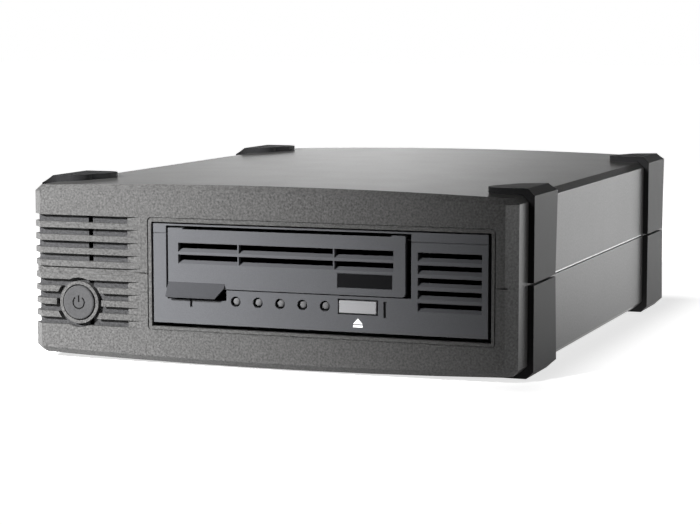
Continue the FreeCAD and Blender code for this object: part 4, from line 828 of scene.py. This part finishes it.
wire_steel = metal("wire_steel", (0.66, 0.66, 0.67), roughness=0.22,
                   patch=0.003, contrast=0.15)
guard_place = (guard_centre.x, guard_low.y + wire_radius, guard_centre.z)
eye_radius, eye_reach = 0.0030, 0.0032
guard = grown("fan_guard_wires", wire_tree, {
    "Outer Radius": guard_radius - wire_radius * 1.2, "Ring Count": ring_count,
    "Ring Step": ring_inset, "Wire Radius": wire_radius, "Arm Reach": arm_reach - eye_reach,
    "Arm Level": -wire_radius * 1.9, "Eye Radius": eye_radius, "Material": wire_steel},
    [guard_place])
for face in guard.data.polygons:
    face.use_smooth = True
stand_for(guard, "zinc_steel", "enclosure", "fan_guard")


def cross_head(name, radius, height, shank, length):
    """A pan-head screw, head up, with a cross recess; its shank runs down from z = 0."""
    work = bmesh.new()
    steps = 32

    def ring(size, z):
        return [work.verts.new((size * math.cos(2 * math.pi * i / steps),
                                size * math.sin(2 * math.pi * i / steps), z))
                for i in range(steps)]

    rings = [ring(radius * 0.82, height), ring(radius * 0.96, height * 0.72),
             ring(radius, height * 0.4), ring(radius, 0.0), ring(shank, 0.0),
             ring(shank, -length)]
    for near, far in zip(rings, rings[1:]):
        for i in range(steps):
            j = (i + 1) % steps
            work.faces.new((near[i], far[i], far[j], near[j]))
    work.faces.new(rings[-1][::-1])
    arm, half = radius * 0.55, radius * 0.13
    corners = [(arm, half), (half, half), (half, arm), (-half, arm), (-half, half), (-arm, half),
               (-arm, -half), (-half, -half), (-half, -arm), (half, -arm), (half, -half),
               (arm, -half)]
    rim = [work.verts.new((x, y, height)) for x, y in corners]
    recess_floor = [work.verts.new((x * 0.7, y * 0.7, height * 0.35)) for x, y in corners]
    sides = len(corners)
    rim_edges = [work.edges.new((rim[i], rim[(i + 1) % sides])) for i in range(sides)]
    outer_edges = [work.edges.get((rings[0][i], rings[0][(i + 1) % steps])) for i in range(steps)]
    bmesh.ops.triangle_fill(work, use_beauty=True, edges=rim_edges + outer_edges)
    for i in range(sides):
        j = (i + 1) % sides
        work.faces.new((rim[i], rim[j], recess_floor[j], recess_floor[i]))
    work.faces.new(recess_floor)
    return made_from(name, work, 32)


screw_steel = metal("screw_steel", (0.20, 0.20, 0.21), roughness=0.32,
                    patch=0.001, contrast=0.2)
fan_head_height = 0.0013
fan_seat = fan_screws_high.y - fan_head_height
screw_shank_radius = 0.0015
fan_screw = cross_head("fan_screw", screw_head_radius, fan_head_height, screw_shank_radius,
                       fan_seat - fan_screws_low.y)
fan_screw_places = [(guard_centre.x + sx * fan_screw_reach, fan_seat,
                     guard_centre.z + sz * fan_screw_reach) for sx in (-1, 1) for sz in (-1, 1)]
fan_fixings = set_of("fan_fixings", fan_screw, fan_screw_places, screw_steel,
                     (-math.pi / 2, 0.0, 0.0))
stand_for(fan_fixings, "screw_steel", "enclosure", "fan_screws")


# ---------------------------------------------------------------- rear sockets
# A mains inlet of black moulded plastic with three plated blades, and a data port whose bent
# steel shell holds a plastic tongue. Both are fixed in windows of the rear plate.

inlet = merged_copy("mains_inlet", "inlet_moulding", whole=True)
break_edges(inlet, 0.0004, segments=3)
dress(inlet, black_plastic, "black_plastic", "enclosure", "mains_inlet")
plated_brass = metal("plated_brass", (0.72, 0.66, 0.50), roughness=0.25,
                     patch=0.002, contrast=0.15)
finish(plated_brass, "inlet_pins")
port = merged_copy("data_port", "port_shell", whole=True)
break_edges(port, 0.0002, segments=2)
dress(port, zinc_steel, "zinc_steel", "enclosure", "data_port")
finish(black_plastic, "port_tongue")


# ---------------------------------------------------------------- power supply parts
# Wound and sleeved parts soldered to the supply's board: a transformer, a heat sink, a
# capacitor and a choke. All are potted or sleeved in matt plastic.

sleeve_plastic = moulded_plastic("sleeve_plastic", (0.05, 0.05, 0.06), roughness=0.5,
                                 grain=0.0008)
finish(sleeve_plastic, "supply_parts")


# ---------------------------------------------------------------- drive mechanism
# A die-cast frame carries two flat motors, the take-up reel, four guide rollers and the head
# that steps up and down across the tape. The cartridge rides back in a carriage of sheet steel.
# Frame and carriage are coloured near-black as painted shade, for the dark seen through the slots.

cast_metal = metal("cast_metal", (0.42, 0.43, 0.44), roughness=0.5,
                   patch=0.0012, contrast=0.2, rub=0.05)
finish(cast_metal, "head_actuator", "tape_head")
# Painted shade: a near-black colour on the frame and carriage stands for the shade behind the
# slots.
frame_painted_shade = metal("frame_painted_shade", (0.035, 0.035, 0.037), roughness=0.55,
                   patch=0.0012, contrast=0.2, rub=0.05)
finish(frame_painted_shade, "drive_frame", "cartridge_carriage")
roller_metal = metal("roller_metal", (0.60, 0.61, 0.62), roughness=0.2,
                     patch=0.003, contrast=0.1)
finish(roller_metal, "guide_roller_1", "guide_roller_2", "guide_roller_3", "guide_roller_4")
motor_steel = metal("motor_steel", (0.50, 0.50, 0.51), roughness=0.3,
                    patch=0.0025, contrast=0.15)
finish(motor_steel, "cartridge_motor", "reel_motor")
reel_plastic = moulded_plastic("reel_plastic", (0.09, 0.09, 0.10), roughness=0.4, grain=0.0006)
finish(reel_plastic, "takeup_reel", "drive_clutch")
finish(black_plastic, "drive_connector", "data_cable")


# ---------------------------------------------------------------- case screws
# Four pan-head screws of darkened steel, with their heads in wells of the lower shell. They
# go up through it into the tray.

case_screws_low, case_screws_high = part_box("shell_screws")
case_screws_middle = (case_screws_low + case_screws_high) / 2
case_head_radius, case_head_height = 0.0029, 0.0016
case_screw_x = (case_screws_high.x - case_screws_low.x) / 2 - case_head_radius
case_screw_y = (case_screws_high.y - case_screws_low.y) / 2 - case_head_radius
case_seat = case_screws_low.z + case_head_height
case_screw = cross_head("case_screw", case_head_radius, case_head_height, screw_shank_radius,
                        case_screws_high.z - case_seat)
case_fixings = set_of("case_fixings", case_screw, [
    (case_screws_middle.x + sx * case_screw_x, case_screws_middle.y + sy * case_screw_y, case_seat)
    for sx in (-1, 1) for sy in (-1, 1)], screw_steel, (math.pi, 0.0, 0.0))
stand_for(case_fixings, "screw_steel", "enclosure", "shell_screws")
